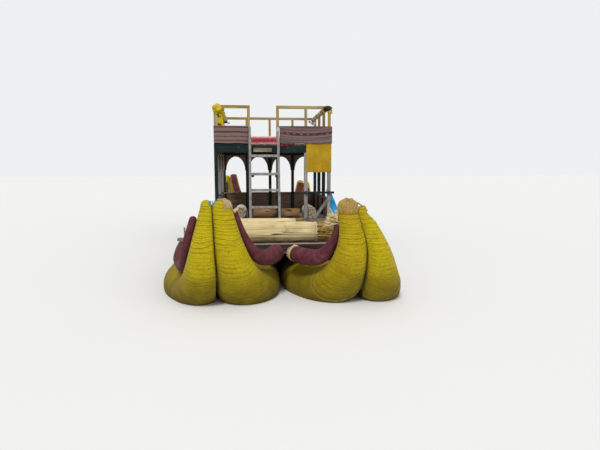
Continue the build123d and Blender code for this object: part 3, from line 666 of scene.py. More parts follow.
def banded_finish(name, bands, length, dashes=(), rough=0.8, sheen=0.05, stir=0.02):
    """Woven cloth with bands of colour down it, from a table of shares of its length and colours. dashes
    holds rows of small marks: share of the length, half height, pitch and colour. Noise stirs the edges."""
    made, tree, place, uv = start_material(name, Roughness=rough, Sheen_Weight=sheen, Specular_IOR_Level=0.15)
    parts = split(tree, uv)
    wander = centred(tree, noise(tree, place, 9.0, 5.0, 0.7), stir * 2)
    down = plus(tree, maths(tree, "DIVIDE", parts["Y"], length), wander)
    ramp = node(tree, "ShaderNodeValToRGB", {"Fac": down})
    stops = ramp.color_ramp.elements
    for share, tint in bands[1:-1]:
        stops.new(share).color = opaque(tint)
    stops[0].color = opaque(bands[0][1])
    stops[len(stops) - 1].color = opaque(bands[-1][1])
    tone = ramp.outputs["Color"]
    for share, half, pitch, tint in dashes:
        off = maths(tree, "ABSOLUTE", maths(tree, "SUBTRACT", down, share))
        near = spread(tree, off, half * 0.5, half, 1.0, 0.0)
        beat = spread(tree, maths(tree, "SINE", times(tree, parts["X"], FULL_TURN / pitch)), 0.0, 0.5)
        shown = spread(tree, streaks(tree, uv, (7, 30, 1), 2.0, 0.5), 0.42, 0.5)
        tone = blend_colour(tree, times(tree, times(tree, near, beat), shown), tone, tint)
    weave = use(tree, "Weave", weave_group, Vector=uv, Threads=900.0)["Height"]
    mottle = noise(tree, place, 22.0, 5.0, 0.7)
    tone = layered(tree, tone, (spread(tree, mottle, 0.5, 0.78, 0.0, 0.35), WOVEN_SOIL),
                   (times(tree, weave, 0.1), WOVEN_THREADS))
    return end_material(made, tone, weighed(tree, (mottle, 1.0), (weave, 0.15)), 0.005, 0.6)


# Hull shapes
def through(values, share):
    """Value at a share of the way along evenly spaced values, on the cubic curve through them whose slope at
    each is half the difference of its neighbours; it starts level."""
    row = np.array([values[1], *values, 2 * values[-1] - values[-2]])
    place = np.clip(np.asarray(share, float) * (len(values) - 1), 0, len(values) - 1)
    index = np.minimum(place.astype(int), len(values) - 2)
    part = place - index
    before, start, stop, after = (row[index + k] for k in range(4))
    bend = 2 * before - 5 * start + 4 * stop - after
    sway = 3 * (start - stop) + after - before
    return start + part / 2 * (stop - before + part * (bend + part * sway))


def end_length(side, end, outer):
    """Length of a bundle's axis from where its taper starts to its last section."""
    base = OUTER if outer else INNER
    tip_z = ENDS[side, end][4 if outer else 3]
    return BEND_START - TAPER_START + BEND_ARC + tip_z - base["height"] - BEND_RISE


def section(side, end, outer, distance):
    """Bundle section at a distance from midships along its axis: sideways place, half width, half height,
    y, z, and slope. The axis runs level, then round a bend of one radius, then straight on. Its height over
    its width goes from that of the straight run to the tip's with the square of the share."""
    base = OUTER if outer else INNER
    widths, seams, edges = ENDS[side, end][:3]
    long = end_length(side, end, outer)
    inside = np.clip(distance, None, TAPER_START + long)
    share = np.clip((inside - TAPER_START) / long, 0, 1)
    if outer:
        edge = through(edges, share)
        width = OUTER_FULLNESS * (edge - through(seams, share) - SEAM_GAP)
        x = edge - width
    else:
        width = through(widths, share)
        x = through(seams, share) - width
    level = base["height"] / base["width"]
    height = width * (level + (TIP_ROUNDNESS - level) * share ** 2)
    run = inside - BEND_START
    angle = np.clip(run / BEND_RADIUS, 0, BEND_ANGLE)
    past = np.maximum(run - BEND_ARC, 0) + distance - inside
    y = end * (BEND_START + np.minimum(run, 0) + BEND_RADIUS * np.sin(angle) + past * np.cos(angle))
    z = base["height"] + BEND_RADIUS * (1 - np.cos(angle)) + past * np.sin(angle)
    return x, width, height, y, z, angle


def seated(side, end, outer, distance, turn, radius, gap):
    """Centre line of a roll that lies on a bundle, turned outboard round it from its hollow side. The point
    of the ellipse at that turn is left along the ellipse's normal by the radius and the gap."""
    x, width, height, y, z, angle = section(side, end, outer, distance)
    across, up = np.sin(turn) / width, np.cos(turn) / height
    away = (radius + gap) / np.sqrt(across ** 2 + up ** 2)
    outboard = width * np.sin(turn) + across * away
    rise = height * np.cos(turn) + up * away
    return points_of(SIGN[side] * (x + outboard), y - end * rise * np.sin(angle), z + rise * np.cos(angle))


def bundle_skin(side, end, outer, distance, turn, sink=0.0):
    """Points on a bundle at distances along it and angles round it. Each is on an ellipse, drawn in towards
    its middle over the domed tip, and pressed flat where an outer bundle meets its inner neighbour."""
    x, width, height, y, z, angle = section(side, end, outer, distance)
    long = TAPER_START + end_length(side, end, outer)
    scale = np.interp(distance - long, DOME_RISE, DOME_SCALE)
    across = x + (width - sink) * np.cos(turn)
    middle = x
    if outer:
        share = np.clip((distance - TAPER_START) / end_length(side, end, True), 0, 1)
        seam = through(ENDS[side, end][1], share) + SEAM_GAP
        across = np.maximum(across, seam)
        middle = (seam + x + width) / 2
    across = middle + (across - middle) * scale
    rise = (height - sink) * np.sin(turn) * scale
    return points_of(SIGN[side] * across, y - end * rise * np.sin(angle), z + rise * np.cos(angle))


def hoop_places(long, pitch):
    """Rows of a bundle half from midships to its tip, as hoop counts and distances. Hoops come at whole
    counts, a little unevenly, with fewer rows under the deck than on the open end."""
    count = np.linspace(0, 1.2 * long / pitch, 4000)
    distance = pitch * (count + 0.3 * np.sin(count * 0.9) + 0.25 * np.sin(count * 0.37))
    whole = np.arange(int(np.interp(long, distance, count)))
    level = whole[np.interp(whole, count, distance) < TAPER_START]
    raised = whole[len(level):]
    rows = np.append(level[:, None] + [0, 0.5], raised[:, None] + [0, 0.2, 0.5, 0.8])
    places = np.interp(rows, count, distance)
    keep = places < long - 0.01
    return rows[keep], places[keep]


# The outer bundle whose tip slopes down outboard, from how far below its last section and how much
SLOPED_TIP = {"at": ("right", -1), "down": 0.18, "depth": 0.065}
HOOP_WANDER = 0.007
UNEVEN_ROUND = 0.007
NET_CELLS = 96


def build_bundle(side, outer, around=48):
    """One bundle from tip to tip, with a shallow groove at each hoop and slow unevenness in its round."""
    pitch, groove = sizes().hoop_pitch, sizes().hoop_groove
    turn = circle(around)[None]
    grids, marks = [], []
    seed = {"left": 0, "right": 2}[side] + outer
    dome = np.array(DOME_RISE[:-1])
    for end in (-1, 1):
        long = TAPER_START + end_length(side, end, outer)
        rows, places = hoop_places(long, pitch)
        rows, places = np.append(rows, rows[-1] + 1 + dome / pitch), np.append(places, long + dome)
        wander = HOOP_WANDER * np.sin(turn + 2 * np.sin(rows[:, None] * 0.21)) * (places[:, None] > 0.2)
        steady = np.clip((long - places[:, None]) / 0.3, 0, 1)
        distance = places[:, None] + wander * steady
        size = section(side, end, outer, places)[1][:, None] / 0.6
        pressed = groove * (0.5 + 0.5 * np.cos(2 * np.pi * rows[:, None])) ** 3
        uneven = smooth_noise(seed, 9, 4 * np.cos(turn), 4 * np.sin(turn), distance * 5)
        sink = (pressed + UNEVEN_ROUND * (1 + uneven) * size) * steady
        if outer and (side, end) == SLOPED_TIP["at"]:
            near = np.clip((distance - long + SLOPED_TIP["down"]) / (SLOPED_TIP["down"] + 0.05), 0, 1)
            eased = near * near * (3 - 2 * near)
            sink = sink + SLOPED_TIP["depth"] * eased * np.clip(np.cos(turn), 0, 1)
        grid = bundle_skin(side, end, outer, distance, turn, sink)
        grids.append(grid if end > 0 else grid[::-1])
        marks.append(rows if end > 0 else -rows[::-1])
    grid = np.concatenate([grids[0][:-1], grids[1]])
    u = np.concatenate([marks[0][:-1], marks[1]])
    name = f"bundle_{side}_{'outer' if outer else 'inner'}"
    paint = finish_of("Reed wrap", wrap_finish)
    made = skins(f"Wrapped_{name}", grid, u, marks_round(around, NET_CELLS), paint)
    return finish(made, [name])


class REEDBOAT_OT_bundles(bpy.types.Operator):
    """Builds the four wrapped bundles"""
    bl_idname = "reedboat.bundles"
    bl_label = "Hull Bundles"

    def execute(self, context):
        for side in SIGN:
            for outer in (False, True):
                build_bundle(side, outer)
        return {"FINISHED"}


# Cloth rolls
def rounded_end(spine, radius):
    """A path and its radii with the first end closed by a half round."""
    away = unit(spine[0] - spine[1])
    angle = np.linspace(0.15, 1, 7)[:, None] * np.pi / 2
    cap = spine[0] + away * radius[0] * np.cos(angle)
    return np.concatenate([cap[:-1], spine]), np.concatenate([radius[0] * np.sin(angle[:-1, 0]), radius])


def creases(seed, u, v, depth):
    """Soft creases of cloth drawn over a roll: slow lumps, and sharper folds that run slantwise round it."""
    round_x, round_y = np.cos(v), np.sin(v)
    lumps = smooth_noise(seed, 8, round_x * 2.5, round_y * 2.5, u * 9)
    folds = np.abs(smooth_noise(seed + 1, 10, round_x * 4 + u * 3, round_y * 4, u * 26))
    return depth * (-0.55 + 0.35 * lumps - 0.5 * np.exp(-folds * 6))


def cloth_roll(name, spine, radius, seed, replaced, rounded, depth=0.009, around=40):
    """A roll wrapped in cloth: a tube along a path, its radius pressed in by creases."""
    if rounded:
        spine, radius = rounded_end(spine, radius)
    u = lengths(spine)
    size = radius / radius.max()
    shaped = radius[:, None] + creases(seed, u[:, None], circle(around)[None], depth) * size[:, None]
    grid = rings(spine, np.maximum(shaped, 0.004), around)
    v = marks_round(around, 2 * np.pi * float(radius.max()))
    made = skins(name, grid, u, v, finish_of("Maroon cloth", cloth_finish))
    return finish(made, [replaced])


def gunwale_spine(side):
    """Path and radii of a gunwale roll, which lies against the hollow side of the outer bundle. It runs level
    to the taper, then climbs the end, thinner and further outboard as it goes."""
    level, climb = np.linspace(0.0, TAPER_START, 44)[:-1], np.linspace(0, 1, 60)
    spines, radii = [], []
    for end in (-1, 1):
        reach = end_length(side, end, True) * GUNWALE["reach"]
        distance = np.concatenate([level, TAPER_START + climb * reach])
        share = np.concatenate([np.zeros(len(level)), climb])
        radius = GUNWALE["radius"] + (GUNWALE["tip"] - GUNWALE["radius"]) * share
        turn = np.radians(GUNWALE["turn"] + GUNWALE_LEAN[side, end] * share ** 1.5)
        spines.append(seated(side, end, True, distance, turn, radius, GUNWALE["gap"]))
        radii.append(radius)
    return np.concatenate([spines[0][:0:-1], spines[1]]), np.concatenate([radii[0][:0:-1], radii[1]])


def inner_roll_spine(side, end):
    """Path and radii of an inner roll: a quadratic curve from its blunt end by one leading point to the place
    where it meets the inner bundle, then up the bundle's inboard side, thinner as it climbs. The mean of each
    point and its neighbours, taken again and again, eases the bend between the two."""
    blunt, lead, shares, turns, radii, _ = INNER_ROLLS[side, end]
    climb = np.linspace(0, 1, 46)
    radius = radii[1] + (radii[0] - radii[1]) * (1 - climb) ** 1.5
    turn = -np.radians(turns[0] + (turns[1] - turns[0]) * climb)
    distance = TAPER_START + (shares[0] + (shares[1] - shares[0]) * climb) * end_length(side, end, False)
    spine = seated(side, end, False, distance, turn, radius, INNER_ROLL_GAP)
    facing = np.array([SIGN[side], end, 1.0, 1.0])
    first, second = np.array(blunt) * facing, np.array(lead) * facing
    third = np.append(spine[0], radius[0])
    part = np.linspace(0, 1, 15)[:-1, None]
    free = (1 - part) ** 2 * first + 2 * part * (1 - part) * second + part ** 2 * third
    path = np.concatenate([free[:, :3], spine])
    for _ in range(40):
        path[1:-1] = (path[:-2] + 2 * path[1:-1] + path[2:]) / 4
    return path, np.concatenate([free[:, 3], radius])


def reed_fan(rng, centre, along, radius, count, long, flare, keep=0.0):
    """Paths of cut reeds that stand out of a round end: spread evenly over a disc, from a share of its area
    outward, with lengths and leans of their own that grow towards its edge."""
    along = unit(np.asarray(along, float))
    first = unit(np.cross(along, (0.31, 0.2, 0.93)))
    second = np.cross(along, first)
    ring = np.sqrt(rng.uniform(keep, 1, count)) * radius
    angle = rng.uniform(0, 2 * np.pi, count)
    out = np.cos(angle)[:, None] * first + np.sin(angle)[:, None] * second
    start = centre + out * ring[:, None] - along * 0.05
    reach = rng.uniform(0.45, 1, count) * long + 0.05
    lean = flare * ring / radius * rng.uniform(0.3, 1.3, count)
    step = np.linspace(0, 1, 4)
    spines = start[:, None] + along * (reach[:, None] * step)[..., None]
    spines = spines + out[:, None] * (lean[:, None] * reach[:, None] * step ** 2)[..., None]
    return spines + rng.normal(0, 0.004, (count, 1, 3)) * step[:, None]


def reed_paint(name, tint=None, mark=0.12):
    """Finish of dry reeds in the pale tone or another, with dark marks of some strength."""
    tints = colours()
    return finish_of(name, dry_reed_finish, tints.reed_pale if tint is None else tint, tints.reed_dark, mark)


def golden_reeds():
    """Finish of frayed reed ends."""
    return reed_paint("Golden reed", colours().reed_golden, 0.6)


# Length of bare reeds at a roll's cut end, and the brush of reeds that leans out of one roll's upper end
BARE_END = 0.085
BRUSH = {"at": ("right", -1), "lean": (-0.9, 0.05, 0.3), "reach": 0.2, "bare": 0.13}


class REEDBOAT_OT_rolls(bpy.types.Operator):
    """Builds the cloth-wrapped rolls that lie along the bundles, and the cut reeds at their ends"""
    bl_idname = "reedboat.rolls"
    bl_label = "Cloth Rolls"

    def execute(self, context):
        rng = np.random.default_rng(5)
        frayed = []
        for number, side in enumerate(SIGN):
            spine, radius = (part[::-1] for part in rounded_end(*gunwale_spine(side)))
            cloth_roll(f"Gunwale_roll_{side}_cloth", spine, radius, 20 + number, f"gunwale_roll_{side}", True)
        for number, (side, end) in enumerate(ENDS):
            spine, radius = inner_roll_spine(side, end)
            rounded = INNER_ROLLS[side, end][5]
            brushed = (side, end) == BRUSH["at"]
            name = f"{'bow' if end < 0 else 'stern'}_roll_{side}"
            run = lengths(spine)
            covered = (run >= (0 if rounded else BARE_END)) & (run <= run[-1] - brushed * BRUSH["bare"])
            cloth_roll(f"{name}_cloth", spine[covered], radius[covered], 30 + number, name, rounded, 0.007)
            if not rounded:
                out = unit(spine[0] - spine[1])
                root = spine[0] - out * BARE_END
                frayed.append(reed_fan(rng, root, out, radius[0] * 0.97, 620, BARE_END, 0.0, 0.3))
            if end < 0:
                out = spine[-1] - spine[-2]
                frayed.append(reed_fan(rng, spine[-1], out, radius[-1] * 0.8, 40, 0.04, 0.4))
            if brushed:
                root = spine[covered][-1]
                out = spine[-1] - root
                frayed.append(reed_fan(rng, root, BRUSH["lean"], radius[-1] * 1.1, 150, BRUSH["reach"], 0.5))
                frayed.append(reed_fan(rng, root, out, radius[-1], 120, np.linalg.norm(out), 0.1))
        thin = sizes().reed_radius * 0.75
        finish(stalks("Roll_end_reeds", np.concatenate(frayed), thin, reed_paint("Dry reed"), 3))
        return {"FINISHED"}


# Cut reeds at the tips: count, how far they stand past the dome, how far down they start, the turns round the
# tip between which they lie, and whether they are golden. More stand on each dome's top.
TIP_REEDS = {
    ("left", -1): (120, 0.03, 0.07, 1.9, 4.4, False),
    ("right", -1): (560, 0.03, 0.15, 0.0, 6.3, True),
    ("left", 1): (60, 0.02, 0.03, -2.8, -0.3, False),
    ("right", 1): (60, 0.02, 0.03, -2.8, -0.3, False),
}
TOP_REEDS = 60
# Tan of the tip reeds, darkened partly as painted shade.
TIP_REED_TAN_AND_SHADE = (0.47, 0.385, 0.2)


class REEDBOAT_OT_tips(bpy.types.Operator):
    """Builds the cut reeds that show at the tips of the bundles"""
    bl_idname = "reedboat.tips"
    bl_label = "Reed Tips"

    def execute(self, context):
        rng = np.random.default_rng(8)
        step = np.linspace(0, 1, 5)[None]
        top_shape = (TOP_REEDS, 1)
        for number, ((side, end), values) in enumerate(TIP_REEDS.items()):
            count, reach, down, low, high, golden = values
            long = TAPER_START + end_length(side, end, False)
            turn = rng.uniform(low, high, (count, 1))
            start = long - down * rng.uniform(0, 1, (count, 1)) + 0.04
            reached = start + rng.uniform(0.5, 1, (count, 1)) * 0.11 * step
            distance = np.minimum(reached, long + DOME_RISE[-1])
            sink = -0.004 - 0.012 * step * rng.uniform(0.2, 1, (count, 1))
            turned = turn + rng.normal(0, 0.25, (count, 1)) * step
            path = bundle_skin(side, end, False, distance, turned, sink)
            top = bundle_skin(side, end, False, np.full(top_shape, long + 0.1),
                              rng.uniform(0, 6.28, top_shape), rng.uniform(0, 0.1, top_shape))
            angle = section(side, end, False, long)[5]
            along = np.array([0, end * np.cos(angle), np.sin(angle)])
            path = path + along * (0.014 * np.clip((distance - long) / 0.1, 0, 1))[..., None]
            rise = step[..., None] * rng.uniform(0.4, 1, (TOP_REEDS, 1, 1)) * reach
            top = top + along * rise + rng.normal(0, 0.25, (TOP_REEDS, 1, 3)) * rise
            # Tips that are not golden take a tan reed colour darkened partly by painted shade.
            paint = golden_reeds() if golden else reed_paint("Tip reed", TIP_REED_TAN_AND_SHADE)
            thin = sizes().reed_radius * 0.8
            made = stalks(f"Tip_reeds_{number}", np.concatenate([path, top]), thin, paint, 4)
            finish(made, ["reed_tips"])
        return {"FINISHED"}


# Reed rolls: node, radius, axis, start, end, place across, places of the ties, length of the loose end
REED_ROLLS = [
    ("reed_roll_front", 0.185, 0, -1.1, 1.0, -4.72, [0.635], 0.33),
    ("reed_roll_second", 0.175, 0, -1.1, 0.51, -3.92, [0.3], 0.17),
    ("reed_roll_door", 0.125, 0, -0.56, 0.73, -0.7, [0.15], 0.06),
    ("seat_roll_left", 0.155, 1, -0.83, 0.06, -0.87, [-0.7, -0.1], 0.0),
    ("seat_roll_right", 0.155, 1, -0.83, 0.06, 0.985, [-0.7, -0.1], 0.0),
]
ROLL_TINTS = {"reed_roll_door": (0.32, 0.18, 0.095), "seat_roll_left": (0.84, 0.76, 0.58),
              "seat_roll_right": (0.88, 0.8, 0.6)}
TIE_CORD = 0.004
WAIST_DEPTH, WAIST_WIDTH = 0.012, 0.05
WHITE_CORD = (0.55, 0.53, 0.48)


def roll_frame(axis, place, height):
    """Point on a roll's axis, and the directions along it, across it and up."""
    ways = np.eye(3)
    return ways[1 - axis] * place + ways[2] * height, ways[axis], ways[1 - axis], ways[2]


def round_axis(lines, at, ring, angle):
    """Points round a roll's axis, each from its place along it, its distance from it and its angle round it:
    distance times cosine goes across, and times sine up."""
    base, along, across, up = lines
    return (base + along * at[..., None] + (ring * np.cos(angle))[..., None] * across
            + (ring * np.sin(angle))[..., None] * up)


def tie(lines, at, ring, turns=2.0):
    """Path of a cord tied round a roll: a short helix on its surface."""
    angle = np.linspace(0, 2 * np.pi * turns, 60)
    return round_axis(lines, at + (angle / (2 * np.pi) - turns / 2) * TIE_CORD * 2.1, ring, angle)


class REEDBOAT_OT_reed_rolls(bpy.types.Operator):
    """Builds the loose rolls of dry reeds on the deck and in the cabin, with their cord ties"""
    bl_idname = "reedboat.reed_rolls"
    bl_label = "Reed Rolls"

    def execute(self, context):
        rng = np.random.default_rng(11)
        thin = sizes().reed_radius
        golden = golden_reeds()
        step = np.linspace(0, 1, 9)[None]
        for number, (name, radius, axis, start, stop, place, ties, loose) in enumerate(REED_ROLLS):
            lines = roll_frame(axis, place, DECK_TOP + radius)
            bound = stop - loose
            count = int(2 * np.pi * radius / thin / 1.25)
            shell = radius - thin * 1.15
            angle = ((np.arange(count) + rng.uniform(-0.3, 0.3, count)) * 2 * np.pi / count)[:, None]
            first = start + rng.uniform(0.0, 0.05, (count, 1))
            last = bound - rng.uniform(0.0, 0.05, (count, 1))
            at = first + (last - first) * step
            drift = angle + 0.012 * smooth_noise(number, 5, at * 3, angle * 3)
            lumps = 0.0012 * (1 + np.clip(smooth_noise(number + 9, 5, at * 5, angle * 4), -1, 1))
            waist = sum(WAIST_DEPTH * np.exp(-((at - spot) / WAIST_WIDTH) ** 2) for spot in ties)
            rows = [round_axis(lines, at, shell - rng.uniform(0, 0.004, (count, 1)) - lumps - waist, drift)]
            inner = int(count * 2.2)
            ring = np.sqrt(rng.uniform(0, 0.85, (inner, 1))) * shell
            turn = rng.uniform(0, 2 * np.pi, (inner, 1))
            inset = rng.uniform(0, 0.07, (inner, 1)) + step * 0.16
            rows += [round_axis(lines, end, ring, turn) for end in (start + inset, bound - inset)]
            dry = reed_paint(f"Dry reed {name}", ROLL_TINTS.get(name))
            finish(stalks(f"{name}_reeds", np.concatenate(rows), thin, dry, 40 + number), [name])
            if loose:
                fringe = int(count * 2.4)
                ring = np.sqrt(rng.uniform(0.05, 1, (fringe, 1))) * shell * 0.97
                turn = rng.uniform(0, 2 * np.pi, (fringe, 1))
                at = bound - 0.05 + (loose + 0.03) * rng.uniform(0.55, 1, (fringe, 1)) * step
                lean = ring * (1 + rng.normal(0.02, 0.1, (fringe, 1)) * step ** 2)
                ends = round_axis(lines, at, lean, turn + rng.normal(0, 0.22, (fringe, 1)) * step)
                ends[..., 2] = np.maximum(ends[..., 2], DECK_TOP + thin)
                finish(stalks(f"{name}_loose_end", ends, thin * 0.7, golden, 60 + number))
            core = np.linspace(start + 0.09, bound - 0.09, 12)
            filling = tube(f"{name}_filling", round_axis(lines, core, 0 * core, core), shell - 0.024, 24, dry,
                           across=(0, 0, 1))
            finish(filling)
            cords = np.array([tie(lines, spot, radius - thin * 1.4 + TIE_CORD) for spot in ties])
            grid = rings(cords, np.full(cords.shape[:2], TIE_CORD), 6, (0.2, 0.3, 0.9))
            paint = finish_of("White cord", rope_finish, WHITE_CORD)
            finish(skins(f"{name}_ties", grid, lengths(cords), marks_round(6, 0.025), paint))
        return {"FINISHED"}


# Timber: each kind's colour, the axis that its grain runs along, and the nodes that are made of it
TIMBER = {
    "Front post": ("green", 2, ["posts_front"]),
    "Green post": ("green", 2, ["posts_back", "posts_right"]),
    "Grey post": ("grey", 2, ["posts_left"]),
    "Green beam": ("green", 0, ["plates", "joists", "bay_rail"]),
    "Grey brace": ("grey", 2, ["brace"]),
    "Grey block": ("grey", 1, ["thole_left", "thole_right", "deck_bearers"]),
    "Brown beam": ("brown", 0, ["crossbeams"]),
    "Brown board x": ("brown", 0, ["arcade_back", "parapet_back"]),
    "Brown board y": ("brown", 1, ["arcade_left", "arcade_right", "parapet_left", "parapet_right"]),
    "Rail post": ("rail", 2, [f"upper_posts_{side}" for side in ("front", "back", "left", "right")]),
    "Rail x": ("rail", 0, ["rail_front", "rail_back", "midrails_front", "bench"]),
    "Rail y": ("rail", 1, ["rail_left", "rail_right"]),
    "Ladder timber": ("ladder", 2, ["ladder"]),
}
DECKS = ["deck_fore", "deck_cabin", "deck_aft", "deck_upper"]
# x from which the front posts are bare timber; timber that shows through the green paint, and how much; and
# the same for the mustard board, with its roughness and the scale of its wear
BARE_POSTS_FROM = 0.65
GREEN_WEAR = ((0.13, 0.125, 0.11), 0.2)
MUSTARD_WEAR = ((0.3, 0.22, 0.1), 0.3, 0.45, 0.6)


def timber_paint(label):
    """The paint or grain of a kind of timber in the table."""
    tint_name, axis, _ = TIMBER[label]
    tint = getattr(colours(), tint_name)
    if tint_name == "green":
        bare_from = BARE_POSTS_FROM if label == "Front post" else None
        return finish_of(label, paint_finish, tint, *GREEN_WEAR, bare_from=bare_from)
    bleach = 0.1 if tint_name == "brown" else 0.3
    return finish_of(label, timber_finish, tint, scaled(tint, 0.4), axis, bleach)


def soften(made, width):
    """Rounds a piece's edges by wear."""
    round_off = made.modifiers.new("Worn edges", "BEVEL")
    round_off.width = width
    round_off.segments = 2
    round_off.limit_method = "ANGLE"
    round_off.angle_limit = np.radians(35)
    return made


def worn_copy(name, material):
    """A copy of a timber node in place on the boat, with its doubles merged and its edges rounded by wear."""
    mesh = NODES[name].data.copy()
    made = bpy.data.objects.new(f"{name}_timber", mesh)
    bpy.context.collection.objects.link(made)
    shape = bmesh.new()
    shape.from_mesh(mesh)
    bmesh.ops.transform(shape, matrix=NODES[name].matrix_world, verts=shape.verts)
    bmesh.ops.remove_doubles(shape, verts=shape.verts, dist=1e-5)
    bmesh.ops.dissolve_limit(shape, angle_limit=0.01, verts=shape.verts, edges=shape.edges)
    shape.to_mesh(mesh)
    shape.free()
    mesh.materials.clear()
    mesh.materials.append(material)
    return soften(made, sizes().edge_round)


class REEDBOAT_OT_timber(bpy.types.Operator):
    """Rounds the edges of the timber and gives each piece its grain or paint"""
    bl_idname = "reedboat.timber"
    bl_label = "Timber"

    def execute(self, context):
        for label, (_, _, names) in TIMBER.items():
            for name in names:
                finish(worn_copy(name, timber_paint(label)), [name])
        repaint(DECKS, finish_of("Deck boards", deck_finish, colours().deck))
        return {"FINISHED"}


class REEDBOAT_OT_panel_board(bpy.types.Operator):
    """Builds the mustard board on the front right bay"""
    bl_idname = "reedboat.panel_board"
    bl_label = "Mustard Board"

    def execute(self, context):
        paint = finish_of("Mustard paint", paint_finish, colours().mustard, *MUSTARD_WEAR)
        finish(worn_copy("panel_yellow", paint), ["panel_yellow"])
        return {"FINISHED"}


# Cloth
PINK_TAN, GREY_TAN = (0.215, 0.128, 0.112), (0.16, 0.11, 0.092)
WINE, DUSK = (0.06, 0.02, 0.022), (0.1, 0.066, 0.062)
BANNERS = {
    "banner_left": {
        "sag": 0.008, "fold": 0.004, "seed": 51,
        "bands": [(0.0, (0.11, 0.09, 0.1)), (0.09, (0.22, 0.13, 0.13)), (0.11, WINE), (0.165, WINE),
                  (0.185, PINK_TAN), (0.25, GREY_TAN), (0.34, PINK_TAN), (0.37, WINE), (0.44, WINE),
                  (0.46, PINK_TAN), (0.54, GREY_TAN), (0.59, PINK_TAN), (0.61, DUSK), (0.67, DUSK),
                  (0.69, PINK_TAN), (0.8, PINK_TAN), (0.83, (0.11, 0.045, 0.05)), (0.9, (0.11, 0.045, 0.05)),
                  (0.92, PINK_TAN), (0.98, PINK_TAN), (1.0, DUSK)],
        "dashes": [(0.14, 0.03, 0.05, (0.03, 0.012, 0.014)), (0.405, 0.035, 0.045, (0.03, 0.015, 0.014)),
                   (0.64, 0.035, 0.05, (0.05, 0.03, 0.03)), (0.26, 0.02, 0.03, (0.12, 0.08, 0.07))],
    },
    "banner_right": {
        "sag": -0.06, "fold": 0.019, "seed": 52,
        "bands": [(0.0, (0.049, 0.029, 0.033)), (0.07, (0.123, 0.07, 0.07)), (0.14, (0.164, 0.098, 0.094)),
                  (0.2, (0.082, 0.041, 0.041)), (0.25, (0.156, 0.086, 0.082)), (0.31, (0.131, 0.072, 0.07)),
                  (0.34, WINE), (0.45, WINE), (0.48, (0.164, 0.094, 0.09)), (0.55, (0.205, 0.123, 0.119)),
                  (0.6, (0.074, 0.041, 0.041)), (0.65, (0.18, 0.107, 0.102)), (0.75, (0.107, 0.07, 0.067)),
                  (0.8, (0.156, 0.107, 0.102)), (0.92, (0.131, 0.094, 0.09)), (0.97, (0.189, 0.135, 0.131)),
                  (1.0, (0.049, 0.033, 0.033))],
        "dashes": [(0.4, 0.05, 0.17, (0.27, 0.13, 0.135)), (0.6, 0.02, 0.05, (0.07, 0.03, 0.035))],
    },
}
# A banner's way over the rail: distance behind its face, and drop below the rail's top; how much of the cut
# lies over the rail, and how far the hem hangs below the solid
BANNER_LIP = np.array([(0.085, 0.0), (0.06, 0.0005), (0.035, 0.002), (0.016, 0.008), (0.005, 0.018),
                       (0, 0.032)])
LIP_LENGTH = 0.09
HEM_DROP = 0.018
CRIMSON = {"left": 0.15, "width": 0.42, "height": 0.13, "top": 3.24}
CRIMSON_BANDS = [(0.0, (0.3, 0.01, 0.05)), (0.5, (0.28, 0.008, 0.045)), (0.9, (0.1, 0.006, 0.018)),
                 (1.0, (0.05, 0.004, 0.01))]
CREAM, ROSE = (0.75, 0.62, 0.52), (0.45, 0.05, 0.12)
BLANKET_BANDS = [(0.0, CREAM), (0.1, ROSE), (0.22, CREAM), (0.34, ROSE), (0.46, (0.78, 0.6, 0.5)),
                 (0.57, (0.85, 0.68, 0.58)), (0.63, (0.7, 0.3, 0.32)), (0.67, (0.42, 0.02, 0.08)),
                 (0.8, (0.4, 0.015, 0.07)), (0.84, (0.35, 0.1, 0.08)), (0.88, (0.7, 0.42, 0.24)),
                 (0.95, (0.6, 0.36, 0.22)), (1.0, (0.12, 0.04, 0.03))]
BLANKET_DASHES = [(0.76, 0.05, 0.13, (0.14, 0.01, 0.05)), (0.6, 0.03, 0.21, (0.7, 0.2, 0.25)),
                  (0.9, 0.05, 0.29, (0.75, 0.2, 0.12))]


def cloth_sheet(name, grid, flat, material, marks=None, thick=0.003):
    """A sheet on a grid of points, row by row down the cloth, with its uv in metres of the flat cut. marks
    may give each point's own distance down the cut. A thin even wall, half to each side, closes it."""
    rows, columns = grid.shape[:2]
    index = np.arange(rows * columns).reshape(rows, columns)
    quads = np.stack([index[:-1, :-1], index[1:, :-1], index[1:, 1:], index[:-1, 1:]], -1).reshape(-1, 4)
    u = np.broadcast_to(np.linspace(0, flat[0], columns), (rows, columns))
    v = np.broadcast_to(np.linspace(0, flat[1], rows)[:, None] if marks is None else marks, (rows, columns))
    uv = np.stack([u, v], -1).reshape(-1, 2)[quads.ravel()]
    made = put(name, grid, quads, [], (uv, []), material)
    wall = made.modifiers.new("Cloth wall", "SOLIDIFY")
    wall.thickness = thick
    wall.offset = 0
    return made


def hang(made, replaces=()):
    """Puts a sheet on the boat, and hides the nodes that it stands for."""
    return finish(made, replaces)


